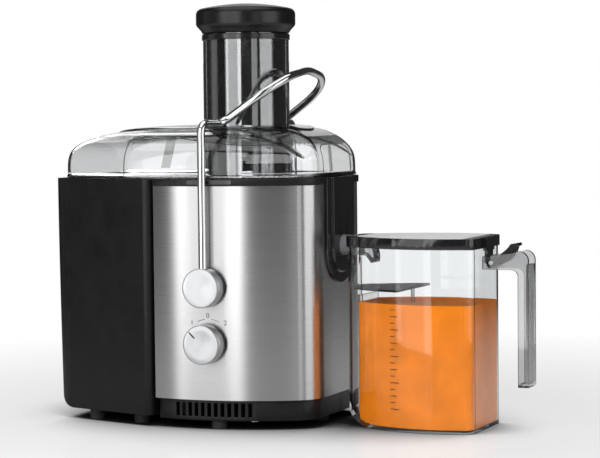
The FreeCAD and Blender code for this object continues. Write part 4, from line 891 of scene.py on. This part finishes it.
def look(thing, target):
    """Points a camera or lamp at a place."""
    thing.rotation_mode = "QUATERNION"
    thing.rotation_quaternion = (target - thing.location).to_track_quat("-Z", "Y")


def make_camera():
    """The photo's camera: a long lens from the right front, a little above the machine."""
    lens = bpy.data.cameras.new("camera")
    lens.lens = 120.0
    lens.sensor_width = 36.0
    lens.clip_end = 50.0
    camera = bpy.data.objects.new("camera", lens)
    scene.collection.objects.link(camera)
    camera.location = at(805.5, -1727.2, 282.4)
    pitch, roll = math.radians(3.12), math.radians(0.6)
    ahead = Vector((-0.399, 0.917, -math.tan(pitch)))
    look(camera, camera.location + ahead)
    camera.rotation_quaternion = camera.rotation_quaternion @ Quaternion((0.0, 0.0, 1.0), -roll)
    scene.camera = camera


def softbox(name, place, target, width, height, glow, glossy=True, through=True):
    """A soft rectangular light that the camera itself doesn't see. Its power follows
    from the brightness of its face, so its size can change without the exposure."""
    light = bpy.data.lights.new(name, "AREA")
    light.shape = "RECTANGLE"
    light.size = width
    light.size_y = height
    light.energy = math.pi * width * height * glow
    thing = bpy.data.objects.new(name, light)
    scene.collection.objects.link(thing)
    thing.location = place
    look(thing, target)
    thing.visible_camera = False
    thing.visible_glossy = glossy
    thing.visible_transmission = through


def make_lights():
    """Three cards in front make the steel's bright band, and the others light the rest."""
    softbox("key", at(-110, -565, 290), at(-30, -60, 190), 0.44, 0.75, 1.5)
    softbox("key_left", at(-305, -555, 290), at(-60, -60, 190), 0.085, 0.75, 1.25)
    softbox("key_right", at(65, -570, 290), at(10, -60, 190), 0.085, 0.75, 1.5)
    softbox("side", at(900, -125, 330), at(60, -40, 180), 0.62, 0.8, 1.5)
    softbox("side_edge", at(700, -640, 330), at(60, -60, 180), 0.26, 0.8, 0.8)
    softbox("top", at(0, -200, 1500), at(20, 0, 0), 1.6, 1.6, 1.2)
    softbox("left", at(-1100, -300, 500), at(-100, 0, 150), 0.5, 1.0, 0.3)
    softbox("back", at(-640, 1370, 800), at(0, 0, 150), 0.9, 0.9, 0.9, through=False)
    softbox("back_fill", at(-1000, 900, 900), at(0, 0, 120), 0.9, 0.9, 3.0, glossy=False)
    softbox("fill", at(700, -1500, 900), at(60, 0, 120), 0.9, 0.9, 5.0, glossy=False)


def plain_sight(tree):
    """A number that is 1 for what is seen directly or through clear walls, and 0 in
    reflections."""
    path = tree.nodes.new("ShaderNodeLightPath")
    bounced = tree.nodes.new("ShaderNodeMath")
    bounced.operation = "ADD"
    tree.links.new(path.outputs["Glossy Depth"], bounced.inputs[0])
    tree.links.new(path.outputs["Diffuse Depth"], bounced.inputs[1])
    first = tree.nodes.new("ShaderNodeMath")
    first.operation = "LESS_THAN"
    first.inputs[1].default_value = 0.5
    tree.links.new(bounced.outputs[0], first.inputs[0])
    return first.outputs[0]


def make_world():
    """White in plain sight, and a dim grey room in reflections."""
    world = bpy.data.worlds.new("studio")
    world.use_nodes = True
    tree = world.node_tree
    tree.nodes.clear()
    output = tree.nodes.new("ShaderNodeOutputWorld")
    mix = tree.nodes.new("ShaderNodeMixShader")
    tree.links.new(plain_sight(tree), mix.inputs[0])
    for socket, strength in ((1, ROOM_LIGHT), (2, 1.0)):
        room = tree.nodes.new("ShaderNodeBackground")
        room.inputs["Color"].default_value = (1.0, 1.0, 1.0, 1.0)
        room.inputs["Strength"].default_value = strength
        tree.links.new(room.outputs[0], mix.inputs[socket])
    tree.links.new(mix.outputs[0], output.inputs["Surface"])
    scene.world = world


def floor_finish():
    """White and slightly glossy, fading with distance into the white room, with a painted contact shadow
    where the product stands close over it: a near-black diffuse mixed in by ambient occlusion."""
    shader = Shader("floor", (0.8, 0.8, 0.8), 0.14, Specular_IOR_Level=0.4)
    far = shader.new("ShaderNodeVectorMath", operation="LENGTH")
    shader.link(shader.object_place(), 0, far, 0)
    strength = shader.new("ShaderNodeMapRange")
    shader.link(shader.spread(far, "Value", FLOOR_LIGHT, ROOM_LIGHT, 0.35, 1.3), 0, strength, "To Min")
    shader.tree.links.new(plain_sight(shader.tree), strength.inputs["Value"])
    glow = shader.new("ShaderNodeEmission")
    shader.link(strength, 0, glow, "Strength")
    faded = shader.new("ShaderNodeMixShader")
    shader.link(shader.spread(far, "Value", 0.66, 1.0, 0.27, 0.8), 0, faded, 0)
    shader.link(shader.surface, 0, faded, 1)
    shader.link(glow, 0, faded, 2)
    # painted contact shadow: ambient occlusion mixes a near-black diffuse into the floor close under the
    # product
    painted_shadow_mask = shader.new("ShaderNodeAmbientOcclusion", samples=16)
    painted_shadow_mask.inputs["Distance"].default_value = 0.3
    painted_shadow = shader.new("ShaderNodeBsdfDiffuse")
    painted_shadow.inputs["Color"].default_value = (0.02, 0.02, 0.022, 1.0)
    under = shader.new("ShaderNodeMixShader")
    shader.link(shader.spread(painted_shadow_mask, "AO", 0.0, 1.0, 0.34, 0.76), 0, under, 0)
    shader.link(painted_shadow, 0, under, 1)
    shader.link(faded, 0, under, 2)
    shader.link(under, 0, shader.output, "Surface")
    return shader.material


def make_floor():
    """A plain pale floor just under the feet."""
    half = 12.0
    corners = [(-half, -half, 0), (half, -half, 0), (half, half, 0), (-half, half, 0)]
    mesh = bpy.data.meshes.new("floor")
    mesh.from_pydata(corners, [], [(0, 1, 2, 3)])
    mesh.materials.append(floor_finish())
    floor = bpy.data.objects.new("floor", mesh)
    scene.collection.objects.link(floor)
    floor.location.z = -0.0002


make_camera()
make_lights()
make_world()
make_floor()
scene.view_settings.view_transform = "Standard"
